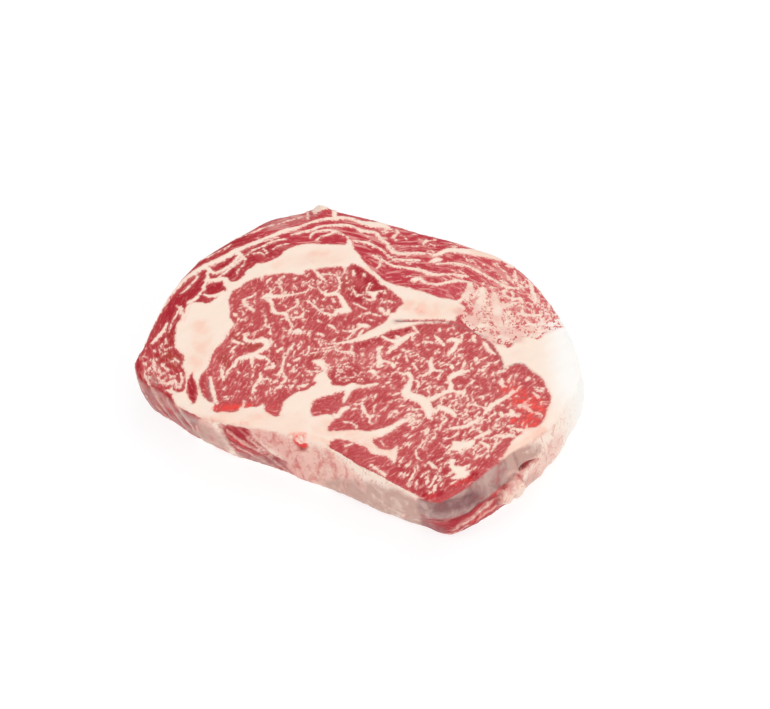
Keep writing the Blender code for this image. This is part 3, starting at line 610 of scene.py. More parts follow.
# painted shade: dark creases between the folds of the edge
steak["edgeLines"] = [
    ([(146, 11, 0.5), (152, 13, 0.9), (160, 12.6, 0.7), (170, 15, 0.7), (178, 13.8, 0.7)], 0.85, 1.4),
    ([(148, 25.8, 0.6), (156, 25.2, 1.1), (163, 23.4, 1), (168, 21.4, 0.5)], 0.7, 1.4),
    ([(170.4, 26, 0.3), (171, 21, 0.7), (170, 16.4, 0.4)], 0.45, 1.4),
    ([(156, 20.6, 0.3), (162, 19.6, 0.6), (168, 18.4, 0.3)], 0.5, 1.2),
    ([(192.6, 28, 0.3), (193.2, 23.4, 0.9), (192.6, 19.8, 0.6)], 0.7, 1.2),
    ([(193, 18.4, 0.6), (197, 17.8, 1.8), (202, 17, 0.5)], 0.8, 1),
    ([(203, 22, 0.3), (207, 17, 0.5), (208, 12, 0.3)], 0.35, 1.2),
    ([(191, 16, 0.4), (193.4, 11.6, 0.9), (195, 8, 0.4)], 0.7, 1.2),
    ([(185, 9.6, 0.4), (185.3, 13.8, 0.4)], 0.6, 1),
    ([(179.2, 14.4, 0.4), (182.6, 16.4, 0.4), (186, 17.6, 0.4), (190, 18, 0.4)], 0.5, 1),
    ([(180, 9, 0.4), (184, 8.6, 0.5), (188, 9.2, 0.5), (191, 10, 0.4)], 0.6, 1),
    ([(179, 9.4, 0.3), (179, 13, 0.3)], 0.6, 1),
    ([(89.6, 21.4, 0.6), (93, 22.4, 0.6)], 0.7, 1.2),
    ([(57, 26.6, 0.3), (58, 20, 0.4), (61, 9, 0.3)], 0.35, 1.2),
    ([(98, 6, 0.2), (101, 14, 0.3), (100, 22, 0.2)], 0.3, 0.8),
    ([(124, 4, 0.2), (126, 13, 0.3), (124, 24, 0.2)], 0.3, 0.8),
]
steak["edgeSkin"] = [
    ([(-10, 12, 30), (20, 12, 30), (40, 12, 28)], 0.36, 6), ([(44, 14, 20), (50, 13, 18)], 0.62, 5),
    ([(66, 3, 12), (80, 6, 10)], 0.45, 4),
    ([(104, 6, 8), (122, 10, 20), (136, 12, 26)], 0.75, 5),
    ([(149, 21, 13), (166, 22, 15), (178, 23, 13), (194, 24, 10)], 1.4, 2.5),
    ([(145, 5, 8), (152, 5, 8)], 0.5, 4), ([(196, 24, 7), (203, 22, 6)], 1.0, 3),
    ([(196, 8, 6), (200, 6, 8)], 0.4, 4), ([(206, 8.6, 1.4), (213, 8.2, 1)], 0.5, 2),
    ([(310, 6, 8), (350, 8, 6), (420, 6, 8), (470, 6, 8), (505, 6, 8)], 0.3, 8),
]
steak["edgeBlush"] = [
    ([(46, 27, 1.4), (60, 27.4, 1.6), (80, 27.4, 2), (100, 27, 1.4)], 1.0, 1.6),
    ([(48, 22, 10), (52, 8, 10)], 0.9, 4), ([(72, 24, 8), (86, 18, 12), (90, 6, 12)], 1.0, 5),
    ([(100, 14, 24), (112, 12, 20)], 0.7, 6), ([(140, 6, 2), (141, 24, 2)], 1.0, 2),
    ([(182.4, 12.4, 7)], 0.25, 2), ([(188, 13.6, 8)], 0.2, 2),
    ([(192, 8, 6), (200, 10, 8)], 0.7, 4),
    ([(205, 12, 10), (214, 14, 12)], 0.5, 6), ([(90, 10, 6), (104, 20, 5)], 0.9, 4),
]
steak["edgeWet"] = [
    ([(119, 16, 1.6)], 1.0, 2.4), ([(36, 23, 3)], 0.9, 3), ([(104, 23, 3)], 0.4, 4),
    ([(87.5, 25.6, 2), (91.4, 24, 3)], 1.8, 1.6), ([(60, 20, 2), (66, 15.6, 2)], 0.5, 2),
    ([(12, 24, 4)], 0.5, 3), ([(27, 24, 3), (31, 12, 2)], 0.6, 3),
    ([(178, 15.4, 0.8), (184, 17, 0.8), (189, 18.4, 0.6)], 0.6, 1),
    ([(166, 7, 3), (176, 8, 4)], 0.6, 4), ([(180, 7.6, 2.4), (186, 7.6, 2)], 0.7, 2),
]
# where lean and fat mix in fine threads, at the cap's right end and the far left
steak["mottleMarks"] = [
    ([(48, 26, 12), (53, 20, 16), (58, 14, 16), (62, 8, 12)], 1.0, 5),
    ([(42, 17, 5), (48, 11, 8), (54, 4, 6), (60, 3, 9), (70, 6, 10), (84, 11, 8)], 1.06, 3),
    ([(-88, -6, 4), (-84, -14, 8), (-76, -18, 10)], 0.9, 4),
]
# folds and pockets pressed into or raised out of the edge: path, height, softness
steak["edgeFolds"] = [
    ([(178.6, 9, 0.5), (179.4, 14, 0.5), (183, 17, 0.5), (185.4, 16, 0.3)], -0.9, 1.6),
    ([(185, 9.6, 0.4), (185.4, 13.6, 0.4)], -1.3, 1.6), ([(191.8, 17, 0.3), (192.4, 11, 0.3)], -0.8, 1.6),
    ([(193, 18.8, 0.5), (197, 18, 1.2), (202, 17, 0.5)], -1.5, 2.2),
    ([(193.4, 28, 0.3), (193.6, 20, 0.5)], -0.9, 1.8), ([(191.6, 15.4, 0.4), (196, 10, 0.4)], -0.7, 1.8),
    ([(150, 12, 0.4), (155, 13.8, 0.5), (160, 12.2, 0.5), (170, 14.2, 0.5), (178, 13, 0.5),
      (184, 16.6, 0.4)], -0.8, 2.2),
    ([(148, 22, 2), (160, 17, 2), (176, 18, 2)], 0.5, 4),
    ([(150, 24.6, 0.8), (160, 23.4, 1), (168, 21, 0.8)], -0.9, 3),
    ([(170.6, 27, 0.5), (171.4, 21, 0.8), (170, 16, 0.5)], -0.8, 2.4),
    ([(174, 24, 4), (188, 23, 4)], 0.5, 4),
    ([(166, 20, 1), (186, 21, 1)], 0.35, 2.5), ([(60, 20, 3), (64, 15, 6)], 0.6, 4),
    ([(57, 26, 0.4), (68, 25, 0.4), (72, 19, 0.4), (80, 12, 0.4), (85, 10, 0.4)], -0.6, 2),
    ([(2, 3, 0.6), (6, 18, 0.6)], -0.35, 3), ([(12, 3, 0.6), (20, 22, 0.6)], -0.4, 3.4),
    ([(25, 9, 0.6), (34, 19, 0.6)], -0.4, 3.2), ([(40, 8, 0.6), (44, 22, 0.6)], -0.3, 3),
    ([(90.4, 22.4, 1)], -0.8, 2), ([(118, 4, 0.6), (120, 26, 0.6)], -0.35, 3),
    ([(141, 4, 0.6), (142, 24, 0.6)], -0.35, 3), ([(104, 8, 2), (108, 20, 2)], 0.35, 5),
    ([(162, 11, 0.5), (167, 0, 0.5)], -0.4, 2.4), ([(172, 10, 0.5), (177, 0, 0.5)], -0.4, 2.4),
]


def curved(points, closed, steps=3):
    # a smooth run through the points (Catmull-Rom), with the width carried along
    pts = np.array(points, float)
    if len(pts) == 1:
        return pts
    if closed:
        ring = np.vstack([pts[-1:], pts, pts[:2]])
    else:
        ring = np.vstack([2 * pts[0] - pts[1], pts, 2 * pts[-1] - pts[-2]])
    out = []
    for i in range(1, len(ring) - 2):
        a, b, c, d = ring[i - 1], ring[i], ring[i + 1], ring[i + 2]
        for k in range(steps):
            t = k / steps
            out.append(0.5 * (2 * b + (c - a) * t + (2 * a - 5 * b + 4 * c - d) * t * t
                              + (3 * b - a - 3 * c + d) * t ** 3))
    if not closed:
        out.append(ring[-2])
    return np.array(out)


def nearBox(at, path, reach):
    low = path[:, :2].min(0) - reach
    high = path[:, :2].max(0) + reach
    return np.nonzero(np.all((at >= low) & (at <= high), axis=1))[0]


def strokeDepth(at, path):
    # how far inside a tapering stroke each place is
    if len(path) == 1:
        path = np.vstack([path, path + [0.01, 0, 0]])
    best = np.full(len(at), -99.0)
    for a, b in zip(path[:-1], path[1:]):
        run = b[:2] - a[:2]
        length = max(run @ run, 1e-9)
        share = np.clip((at - a[:2]) @ run / length, 0, 1)
        gap = np.hypot(*(at - a[:2] - share[:, None] * run).T)
        best = np.maximum(best, (a[2] + (b[2] - a[2]) * share) / 2 - gap)
    return best


def outlineDepth(at, ring):
    # how far inside a closed outline each place is, and below nought outside it
    gap = np.full(len(at), 99.0)
    inside = np.zeros(len(at), bool)
    for a, b in zip(ring, np.roll(ring, -1, axis=0)):
        run = b - a
        share = np.clip((at - a) @ run / max(run @ run, 1e-9), 0, 1)
        gap = np.minimum(gap, np.hypot(*(at - a - share[:, None] * run).T))
        crosses = (a[1] > at[:, 1]) != (b[1] > at[:, 1])
        if abs(run[1]) > 1e-9:
            inside ^= crosses & (at[:, 0] < a[0] + (at[:, 1] - a[1]) * run[0] / run[1])
    return np.where(inside, gap, -gap)


def addFat(field, at, shapes, outline=False, carve=False):
    for points in shapes:
        path = curved(points, outline)
        reach = steak["far"] if outline else steak["far"] + path[:, 2].max() / 2
        near = nearBox(at, path, reach)
        if not len(near):
            continue
        depth = outlineDepth(at[near], path) if outline else strokeDepth(at[near], path)
        field[near] = np.minimum(field[near], -depth) if carve else np.maximum(field[near], depth)
    return field


def softMarks(at, marks):
    # strength of the strongest soft mark over each place
    total = np.zeros(len(at))
    for points, strength, soft in marks:
        path = curved(points, False)
        near = nearBox(at, path, path[:, 2].max() / 2 + soft)
        if not len(near):
            continue
        share = np.clip(strokeDepth(at[near], path) / soft + 0.5, 0, 1)
        total[near] = np.maximum(total[near], strength * share * share * (3 - 2 * share))
    return total


def ramp(value, low, high):
    share = np.clip((value - low) / (high - low), 0, 1)
    return share * share * (3 - 2 * share)


def waves(at, size, seed, count=7):
    # gentle uneven lumps about as wide as size, from a few crossed waves
    rng = np.random.default_rng(seed)
    total = np.zeros(len(at))
    for _ in range(count):
        way = rng.normal(size=at.shape[1])
        way *= rng.uniform(0.7, 1.4) * 2 * math.pi / size / np.linalg.norm(way)
        total += np.sin(at @ way + rng.uniform(0, 2 * math.pi))
    return total / math.sqrt(count)


def capMiddle(x):
    # the cap's fibres run round one of two middles, left or right of the split in the eye
    left, right = steak["capMiddles"]
    return np.where(x > steak["capSplit"], right[0], left[0]), left[1]


def strewn(region, seed):
    # random short wavy streaks inside one muscle
    dice = random.Random(seed)
    ring = np.array(region["outline"], float)
    low, high = ring.min(0), ring.max(0)
    streaks = []
    while len(streaks) < region["count"]:
        x, y = dice.uniform(low[0], high[0]), dice.uniform(low[1], high[1])
        if outlineDepth(np.array([[x, y]]), ring)[0] < 0.6:
            continue
        turn = region["angle"]
        if turn is None:
            middle = capMiddle(x)
            turn = math.degrees(math.atan2(y - middle[1], x - middle[0])) + 90
        turn = math.radians(dice.gauss(turn, region["spread"]))
        half = dice.uniform(*region["length"]) * dice.uniform(0.5, 1.0) / 2
        width = dice.uniform(*region["width"])
        along = (math.cos(turn) * half, math.sin(turn) * half)
        bow = dice.uniform(-0.35, 0.35) * half
        streaks.append([
            (x - along[0], y - along[1], width * 0.5),
            (x + bow * math.sin(turn), y - bow * math.cos(turn), width),
            (x + along[0], y + along[1], width * 0.4),
        ])
    return streaks


def edgeRun(solid):
    # distance round the steak for each direction from the middle, along its outline at half height
    cut = solid.copy()
    made = bmesh.ops.bisect_plane(
        cut, geom=cut.verts[:] + cut.edges[:] + cut.faces[:],
        plane_co=(0, 0, steak["halfHeight"] * mm), plane_no=(0, 0, 1))
    ring = np.array([v.co[:2] for v in made["geom_cut"] if isinstance(v, bmesh.types.BMVert)]) / mm
    cut.free()
    turn = np.arctan2(ring[:, 1], ring[:, 0])
    ring, turn = ring[np.argsort(turn)], np.sort(turn)
    steps = np.hypot(*(np.roll(ring, -1, axis=0) - ring).T)
    run = np.concatenate([[0], np.cumsum(steps)])
    return np.concatenate([turn, turn[:1] + 2 * math.pi]), run


def freshMesh(name, solid):
    mesh = bpy.data.meshes.new(name)
    solid.to_mesh(mesh)
    return mesh


# shape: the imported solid, its small edge lumps, remeshed fine
solid = bmesh.new()
solid.from_mesh(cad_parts["ribeye_steak"].data)
bmesh.ops.remove_doubles(solid, verts=solid.verts, dist=steak["mergeGap"] * mm)
turns, runs = edgeRun(solid)
for centre, size, turn in steak["edgeLumps"]:
    place = Matrix.LocRotScale(
        Vector(centre) * mm, Matrix.Rotation(math.radians(turn), 3, "Z"), Vector(size) * mm)
    bmesh.ops.create_icosphere(solid, subdivisions=4, radius=1.0, matrix=place)
blockMesh = freshMesh("steak_block", solid)
solid.free()
block = bpy.data.objects.new("steak_block", blockMesh)
bpy.context.scene.collection.objects.link(block)
remesh = block.modifiers.new("even mesh", "REMESH")
remesh.mode = "VOXEL"
remesh.voxel_size = steak["voxel"] * mm
remesh.adaptivity = 0.0
evenMesh = bpy.data.meshes.new_from_object(block.evaluated_get(bpy.context.evaluated_depsgraph_get()))
bpy.data.objects.remove(block)
print("remeshed", len(evenMesh.polygons), "faces")

bm = bmesh.new()
bm.from_mesh(evenMesh)
for _ in range(3):
    bmesh.ops.smooth_vert(bm, verts=bm.verts, factor=0.5, use_axis_x=True, use_axis_y=True, use_axis_z=True)
bm.normal_update()
upper = [f for f in bm.faces if f.normal.z > 0.45 and f.calc_center_median().z > 8 * mm]
bmesh.ops.subdivide_edges(
    bm, edges=list({e for f in upper for e in f.edges}), cuts=1, use_grid_fill=True, smooth=0.0)
bm.normal_update()
steakMesh = freshMesh("ribeye", bm)
bm.free()
count = len(steakMesh.vertices)
at = np.empty(count * 3)
steakMesh.vertices.foreach_get("co", at)
at = at.reshape(-1, 3) / mm
normal = np.empty(count * 3)
steakMesh.vertices.foreach_get("normal", normal)
normal = normal.reshape(-1, 3)
print("fine mesh", count, "points")

# layout of fat and lean over the cut face, its underside, and the edge
facingBack = ramp(normal[:, 1], 0.0, 0.35) * ramp(at[:, 2], 20, 27)
topShare = ramp(normal[:, 2] + 0.42 * facingBack, 0.30, 0.62) * ramp(at[:, 2], 17.5, 20.5)
lowShare = ramp(-normal[:, 2], 0.45, 0.8) * ramp(-at[:, 2], -5, -3)
edgeShare = 1 - topShare - lowShare
plan = at[:, :2].copy()
under = lowShare > 0.5
drift = np.stack([waves(plan[under], 60, 3), waves(plan[under], 60, 4)], axis=1)
plan[under] += drift * steak["underShift"]
face = topShare + lowShare > 0.001
flat = plan[face]

fat = np.full(len(flat), -steak["far"])
addFat(fat, flat, steak["fatOutlines"], outline=True)
addFat(fat, flat, steak["leanOutlines"], outline=True, carve=True)
addFat(fat, flat, steak["fatVeins"])
for i, region in enumerate(steak["marbling"]):
    addFat(fat, flat, strewn(region, steak["seed"] + i))
faceFat = np.full(count, -steak["far"])
faceFat[face] = fat
print("cut face laid out")

turnAt = np.arctan2(at[:, 1], at[:, 0])
aroundEdge = np.where(turnAt < turns[0], 0.0, np.interp(turnAt, turns, runs))
edge = np.stack([aroundEdge, at[:, 2]], axis=1)
side = edgeShare > 0.001
edgeFat = np.full(count, -steak["far"])
field = np.full(side.sum(), -steak["far"])
addFat(field, edge[side], steak["edgeFat"], outline=True)
addFat(field, edge[side], steak["edgeLean"], outline=True, carve=True)
addFat(field, edge[side], steak["edgeVeins"])
edgeFat[side] = field
fatDepth = faceFat * (topShare + lowShare) + edgeFat * edgeShare
print("edge laid out")


def tone(faceMarks, edgeMarks):
    level = np.zeros(count)
    level[face] += softMarks(plan[face], faceMarks) * (topShare + lowShare)[face]
    level[side] += softMarks(edge[side], edgeMarks) * edgeShare[side]
    return level


# shade of the lean: each muscle has its own, then the marks deepen or pale it; on the edge some narrow deep
# marks are painted shade in the creases
inRight = ramp(outlineDepth(plan, np.array(steak["eyeRight"], float)), -1.5, 1.0)
inLeft = ramp(outlineDepth(plan, np.array(steak["eyeLeft"], float)), -1.5, 1.0)
capShade = 0.66 - 0.42 * ramp(plan[:, 0], 18, 58)
shade = capShade * (1 - inRight) + 0.34 * inRight
shade = shade * (1 - inLeft) + 0.36 * inLeft
lowFront = ramp(-plan[:, 1], 22, 30) * ramp(plan[:, 0], -62, -56)
shade = shade * (1 - lowFront) + 0.34 * lowFront
shade = shade * (topShare + lowShare) + 0.42 * edgeShare
deepToneAndCreaseShade = tone(steak["deepMarks"], steak["edgeDeep"])
pale = tone(steak["paleMarks"], steak["edgePale"])
shade = shade + (1 - shade) * deepToneAndCreaseShade * 0.95
shade = shade * (1 - pale * 0.75)

# run of the fibres: straight across each lobe of the eye, round it in the cap, slanting in the edge
grain = np.zeros((count, 3))


def layGrain(mask, spots, angle, layer):
    c, s = math.cos(math.radians(angle)), math.sin(math.radians(angle))
    grain[mask, 0] = spots[mask, 0] * c + spots[mask, 1] * s
    grain[mask, 1] = spots[mask, 1] * c - spots[mask, 0] * s
    grain[mask, 2] = layer


layGrain(inLeft > 0.5, plan, 62, 20)
layGrain(inRight > 0.5, plan, 48, 40)
cap = (inLeft <= 0.5) & (inRight <= 0.5)
acrossCap, upCap = capMiddle(plan[:, 0])
reach = np.hypot(plan[:, 0] - acrossCap, plan[:, 1] - upCap)
sweep = np.arctan2(plan[:, 1] - upCap, plan[:, 0] - acrossCap) * 55
grain[cap] = np.stack([sweep, reach, np.full(count, 60.0)], axis=1)[cap]
wall = edgeShare > 0.5
for low, high, angle, layer in ((-1, 132, -42, 100), (132, 215, 20, 120), (215, 600, 12, 140)):
    layGrain(wall & (edge[:, 0] > low) & (edge[:, 0] <= high), edge, angle, layer)

# relief: fat stands proud of the lean, fibres and lumps, folds round the edge
fatShare = ramp(fatDepth, -0.7, 0.7)
rise = fatShare * steak["fatRise"] - (1 - fatShare) * steak["leanSink"]
fibre = waves(grain * [0.5, 1.6, 1.0], 3.2, 5) + 0.7 * waves(grain * [0.6, 1.5, 1.0], 1.9, 6)
rise += (1 - fatShare) * fibre * steak["fibreRelief"]
rise += waves(at, 16, 8) * steak["faceLumps"] * topShare
rise += fatShare * waves(at, 5, 9) * steak["fatLumps"]
rim = 1 - np.abs(2 * edgeShare - 1)
rise += rim * waves(at, 4.5, 14) * steak["rimLumps"]
folds = np.zeros(count)
for points, height, soft in steak["edgeFolds"]:
    folds += softMarks(edge, [(points, 1.0, soft)]) * height
rise += edgeShare * (folds + waves(at * [1, 1, 0.5], 11, 10) * steak["wallLumps"]
                     + waves(at * [1, 1, 0.6], 4, 12) * steak["wallRipple"])
rise *= 1 - lowShare
at += normal * rise[:, None]
at = np.clip(at, np.array(cadLow) / mm + steak["boxGap"], np.array(cadHigh) / mm - steak["boxGap"])
at[:, 2] *= ramp(at[:, 2], 0.0, steak["footEase"])
steakMesh.vertices.foreach_set("co", (at * mm).ravel())
steakMesh.update()
print("relief raised")

layers = {
    "fatDepth": fatDepth,
    "shade": shade,
    "wet": tone(steak["wetMarks"], steak["edgeWet"]),
    "brown": tone(steak["brownMarks"], []),
    "skin": tone(steak["skinMarks"], steak["edgeSkin"]),
    "blush": tone(steak["blushMarks"], steak["edgeBlush"]),
    "banded": ramp(plan[:, 1] + 0.5 * plan[:, 0], 34, 44) * (1 - inLeft) * (1 - inRight) * topShare,
    # line: dark seam lines on the cut face, and painted shade in the creases of the edge
    "line": tone(steak["lineMarks"], steak["edgeLines"]),
    "edge": edgeShare,
    "white": ramp(at[:, 0], 72, 86) * ramp(at[:, 1], -45, -20),
    "mottle": softMarks(plan, steak["mottleMarks"]) * topShare,
}
for name, values in layers.items():
    layer = steakMesh.attributes.new(name, "FLOAT", "POINT")
    layer.data.foreach_set("value", values)
layer = steakMesh.attributes.new("grain", "FLOAT_VECTOR", "POINT")
layer.data.foreach_set("vector", grain.ravel())
for polygon in steakMesh.polygons:
    polygon.use_smooth = True
print("tones written")


def paint(red, green, blue):
    # a display colour, 0 to 255, as the shader's own linear colour
    values = [c / 255 for c in (red, green, blue)]
    return [c / 12.92 if c <= 0.04045 else ((c + 0.055) / 1.055) ** 2.4 for c in values] + [1.0]


class Wire:
    # one output of a node: + - * / on it make Math nodes
    def __init__(self, tree, socket=None):
        self.tree = tree
        self.socket = socket

    def node(self, kind, settings=None, values=None, output=0):
        made = self.tree.nodes.new(kind)
        for name, value in (settings or {}).items():
            setattr(made, name, value)
        for key, value in (values or {}).items():
            if isinstance(value, Wire):
                self.tree.links.new(value.socket, made.inputs[key])
            else:
                made.inputs[key].default_value = value
        return Wire(self.tree, made.outputs[output] if output is not None else None)

    def maths(self, operation, first, second):
        return self.node("ShaderNodeMath", {"operation": operation}, {0: first, 1: second})

    def __add__(self, other):
        return self.maths("ADD", self, other)

    def __radd__(self, other):
        return self.maths("ADD", other, self)

    def __sub__(self, other):
        return self.maths("SUBTRACT", self, other)

    def __rsub__(self, other):
        return self.maths("SUBTRACT", other, self)

    def __mul__(self, other):
        return self.maths("MULTIPLY", self, other)

    def __rmul__(self, other):
        return self.maths("MULTIPLY", other, self)

    def __truediv__(self, other):
        return self.maths("DIVIDE", self, other)

    def layer(self, name, output=2):
        return self.node("ShaderNodeAttribute", {"attribute_name": name}, {}, output)

    def scaled(self, sizes):
        return self.node("ShaderNodeVectorMath", {"operation": "MULTIPLY"}, {0: self, 1: sizes})

    def noise(self, scale, detail=2.0, distortion=0.0):
        return self.node("ShaderNodeTexNoise", {"noise_dimensions": "3D"}, {
            "Vector": self, "Scale": scale, "Detail": detail, "Roughness": 0.55,
            "Distortion": distortion})

    def step(self, low, high):
        return self.node("ShaderNodeMapRange", {"interpolation_type": "SMOOTHSTEP"}, {
            "Value": self, "From Min": low, "From Max": high})

    def mix(self, first, second):
        return self.node("ShaderNodeMix", {"data_type": "RGBA"}, {0: self, 6: first, 7: second}, 2)


colours = {
    "leanPale": paint(216, 110, 110),
    "leanMid": paint(190, 66, 70),
    "leanDeep": paint(172, 22, 40),
    "leanCrimson": paint(204, 56, 74),
    "leanWet": paint(244, 72, 60),
    "leanBrown": paint(172, 62, 48),
    "leanHaze": paint(234, 158, 150),
    "fatCream": paint(254, 232, 216),
    "fatPeach": paint(252, 208, 188),
    "fatWhite": paint(255, 251, 246),
    "fatPink": paint(236, 178, 168),
    "fatThin": paint(246, 198, 182),
    "fatRed": paint(206, 96, 90),
    "skinGrey": paint(208, 172, 162),
    "skinPurple": paint(142, 94, 94),
    "skinFat": paint(208, 165, 151),
    "line": paint(146, 108, 108),
    # painted shade for the creases of the edge
    "paintedCreaseShade": paint(110, 54, 48),
}

material = bpy.data.materials.new("raw_beef")
material.use_nodes = True
tree = material.node_tree
tree.nodes.clear()
start = Wire(tree)
place = start.node("ShaderNodeTexCoord", {}, {}, 3).scaled((1000, 1000, 1000))
grainAt = start.layer("grain", 1)
mottleAt = start.layer("mottle")
skinAt = start.layer("skin")
blushAt = start.layer("blush")
edgeAt = start.layer("edge")

# where fat ends: the laid out depth, made ragged, with finer flecks along the fibres
ragged = (place.noise(0.5, 3.0) - 0.5) * (1.4 + edgeAt * 1.6)
fringe = (grainAt.scaled((0.45, 1.0, 1.0)).noise(1.4, 4.0, 0.6) - 0.5) * (2.2 - edgeAt * 1.2)
depth = start.layer("fatDepth") + ragged + fringe
swirl = place.noise(0.26, 6.0, 1.6) * 0.55 + place.noise(0.7, 4.0, 1.2) * 0.45
swirl = (swirl - 0.505) * 20.0 - (1.0 - mottleAt) * 11.0
depth = depth.maths("MAXIMUM", depth, swirl)
fleck = grainAt.scaled((0.36, 1.0, 1.0)).noise(0.9, 5.0, 0.5)
fleckFat = fleck.step(0.53, 0.66) * (1.2 - start.layer("shade")) * depth.step(-5.0, -1.0)
fleckFat = fleckFat * (1.0 - edgeAt)
band = grainAt.scaled((0.16, 1.0, 1.0)).noise(0.5, 5.0, 0.5).step(0.50, 0.62)
band = band * (start.layer("banded") * 0.8 + edgeAt * 0.4)
fatMask = (depth / (1.0 + edgeAt * 4.0)).step(-0.28, 0.24)
haze = depth.step(-1.2, 0.2)

# lean
fibreLight = grainAt.scaled((0.25, 1.0, 1.0)).noise(1.4, 3.0)
cloud = place.noise(0.15, 3.0)
shadeAt = start.layer("shade") + (cloud - 0.5) * 0.5 + (fibreLight - 0.5) * 0.75
shadeAt = shadeAt + (place.noise(1.5, 2.0) - 0.5) * 0.5
lean = shadeAt.step(-0.1, 0.5).mix(colours["leanPale"], colours["leanMid"])
lean = shadeAt.step(0.40, 1.0).mix(lean, colours["leanDeep"])
lean = (start.layer("brown") * place.noise(0.5).step(0.3, 0.6)).mix(lean, colours["leanBrown"])
lean = (start.layer("banded") * 0.5).mix(lean, colours["leanCrimson"])
lean = (haze * 0.35).mix(lean, colours["leanHaze"])
lean = fleckFat.maths("MAXIMUM", fleckFat, band).mix(lean, colours["leanHaze"])

# fat, pinker where thin, with red smears low on the edge
fatCloud = place.noise(0.12, 5.0, 0.8)
peach = ((fatCloud - 0.40) * (1.0 + blushAt * 4.0)).step(-0.1, 1.3)
fat = peach.mix(colours["fatCream"], colours["fatPeach"])
fat = (blushAt * 0.4).mix(fat, colours["fatPeach"])
fat = (mottleAt * fatCloud.step(0.35, 0.6) * 0.6).mix(fat, colours["fatPink"])
fat = (edgeAt * blushAt * 0.85).mix(fat, colours["fatPink"])
fat = start.layer("white").mix(fat, colours["fatWhite"])
thin = 1.0 - depth.step(0.0, 1.0)
fat = (thin * 0.65).mix(fat, colours["fatThin"])
smear = place.scaled((1.0, 1.0, 0.6)).noise(0.16, 6.0, 1.2).step(0.50, 0.66)
fat = (smear * edgeAt * (blushAt * 0.75 + skinAt * 0.35)).mix(fat, colours["fatRed"])
hair = place.scaled((1.0, 1.0, 0.7)).noise(0.42, 6.0, 1.8).step(0.55, 0.60)
fat = (hair * edgeAt * (1.0 - start.layer("white")) * 0.38).mix(fat, colours["fatRed"])
surface = fatMask.mix(lean, fat)
wetAt = start.layer("wet") * place.noise(0.5, 4.0).step(0.34, 0.62) * (1.0 - fatMask * 0.6)
surface = wetAt.mix(surface, colours["leanWet"])

# thin skin over the edge, the dark line round the eye, and painted shade in the creases of the edge
film = place.scaled((1.0, 1.0, 0.7)).noise(0.17, 4.0, 0.6)
skinTone = (film - start.layer("shade") * 0.5 + 0.25).step(0.20, 0.85)
skinTint = skinTone.mix(colours["skinPurple"], colours["skinGrey"])
skinTint = (fatMask * 0.8).mix(skinTint, colours["skinFat"])
surface = (skinAt * (0.5 + film.step(0.30, 0.62))).mix(surface, skinTint)
# the dark lines: seam colour on the cut face, painted crease shade on the edge
seamAndCreaseShadeTint = edgeAt.mix(colours["line"], colours["paintedCreaseShade"])
surface = (start.layer("line") * place.noise(0.4).step(0.2, 0.6)).mix(surface, seamAndCreaseShadeTint)

gloss = 0.36 + 0.16 * place.noise(0.22, 2.0) - start.layer("wet") * 0.12 + fatMask * 0.03
wrinkle = place.scaled((1.0, 1.0, 0.6)).noise(0.22, 6.0, 1.6) * edgeAt
relief = (fibreLight * (1.0 - fatMask) * 0.6 + fatMask * place.noise(0.9, 3.0) * 0.5
          + place.noise(0.35, 2.0) * 0.6 + wrinkle * 4.0)
bump = start.node("ShaderNodeBump", {}, {"Strength": 0.22, "Distance": 0.0006, "Height": relief})
shader = start.node("ShaderNodeBsdfPrincipled", {"subsurface_method": "RANDOM_WALK"}, {
    "Base Color": surface, "Roughness": gloss, "Normal": bump, "Specular IOR Level": 0.24,
    "Subsurface Weight": 0.12, "Subsurface Radius": (1.0, 0.35, 0.22), "Subsurface Scale": 0.002})
start.node("ShaderNodeOutputMaterial", {}, {0: shader}, None)
print("material made")

steakMesh.materials.append(material)
ribeye = bpy.data.objects.new("ribeye", steakMesh)
bpy.context.scene.collection.objects.link(ribeye)
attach(ribeye, "root")
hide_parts("ribeye_steak")

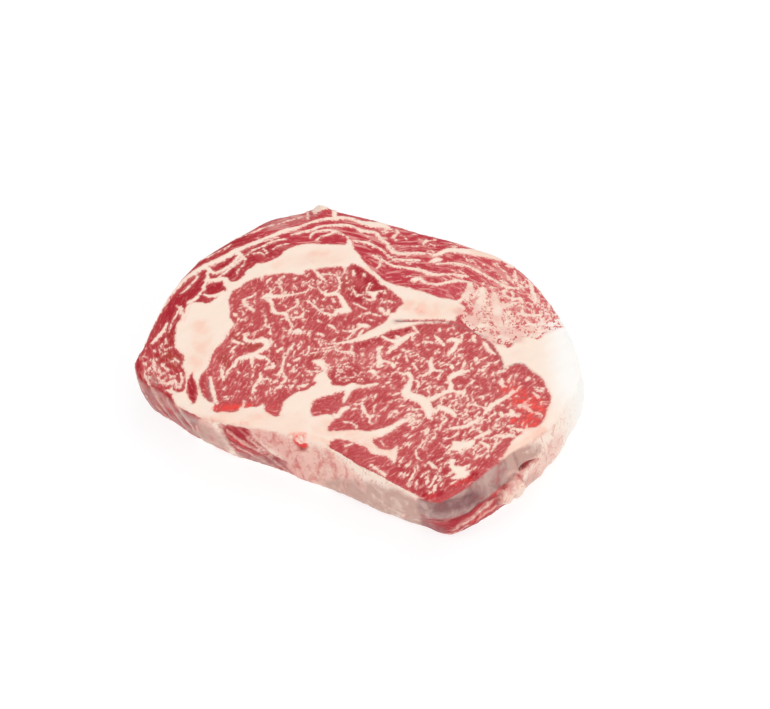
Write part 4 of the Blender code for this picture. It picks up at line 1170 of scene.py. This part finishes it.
# studio, in metres: pale floor, white surroundings and three wide soft lamps
studio = {
    "floorSize": 6.0,
    "floorDrop": 0.0002,
    "floorLook": {
        "Base Color": (0.26, 0.26, 0.26, 1.0),
        "Roughness": 0.9,
        "Specular IOR Level": 0.0,
        "Emission Color": (1, 1, 1, 1),
        "Emission Strength": 0.78,
    },
    "worldStrength": 0.56,
    "lamps": [
        ((-0.6, -0.6, 1.3), 1.2, 7.0),
        ((0.4, 0.8, 1.4), 1.3, 5.0),
        ((1.2, -0.5, 0.7), 0.9, 4.0),
    ],
}
floorMesh = bpy.data.meshes.new("floor")
floorShape = bmesh.new()
bmesh.ops.create_grid(floorShape, x_segments=1, y_segments=1, size=studio["floorSize"] / 2)
floorShape.to_mesh(floorMesh)
floorShape.free()
floor = bpy.data.objects.new("floor", floorMesh)
bpy.context.scene.collection.objects.link(floor)
floor.location.z = -studio["floorDrop"]
floorLook = bpy.data.materials.new("pale_floor")
floorLook.use_nodes = True
floorInputs = floorLook.node_tree.nodes["Principled BSDF"].inputs
for name, value in studio["floorLook"].items():
    floorInputs[name].default_value = value
floorMesh.materials.append(floorLook)

world = bpy.data.worlds.new("studio")
bpy.context.scene.world = world
world.use_nodes = True
world.node_tree.nodes["Background"].inputs["Color"].default_value = (1, 1, 1, 1)
world.node_tree.nodes["Background"].inputs["Strength"].default_value = studio["worldStrength"]
for i, (spot, size, power) in enumerate(studio["lamps"]):
    light = bpy.data.lights.new(f"soft_{i}", "AREA")
    light.shape = "DISK"
    light.size = size
    light.energy = power
    lamp = bpy.data.objects.new(f"soft_{i}", light)
    lamp.location = spot
    lamp.rotation_euler = (Vector((0, 0, 0)) - Vector(spot)).to_track_quat("-Z", "Y").to_euler()
    bpy.context.scene.collection.objects.link(lamp)

# camera: a long lens, fifty degrees above the table
shot = {"lens": 85, "film": 36, "aim": Vector((0.01074, 0.00546, 0.014)), "above": 50, "away": 0.768}
cameraData = bpy.data.cameras.new("camera")
cameraData.lens = shot["lens"]
cameraData.sensor_width = shot["film"]
camera = bpy.data.objects.new("camera", cameraData)
back = Vector((0, -math.cos(math.radians(shot["above"])), math.sin(math.radians(shot["above"]))))
camera.location = shot["aim"] + back * shot["away"]
camera.rotation_euler = (-back).to_track_quat("-Z", "Y").to_euler()
bpy.context.scene.collection.objects.link(camera)
bpy.context.scene.camera = camera
bpy.context.scene.view_settings.view_transform = "Standard"
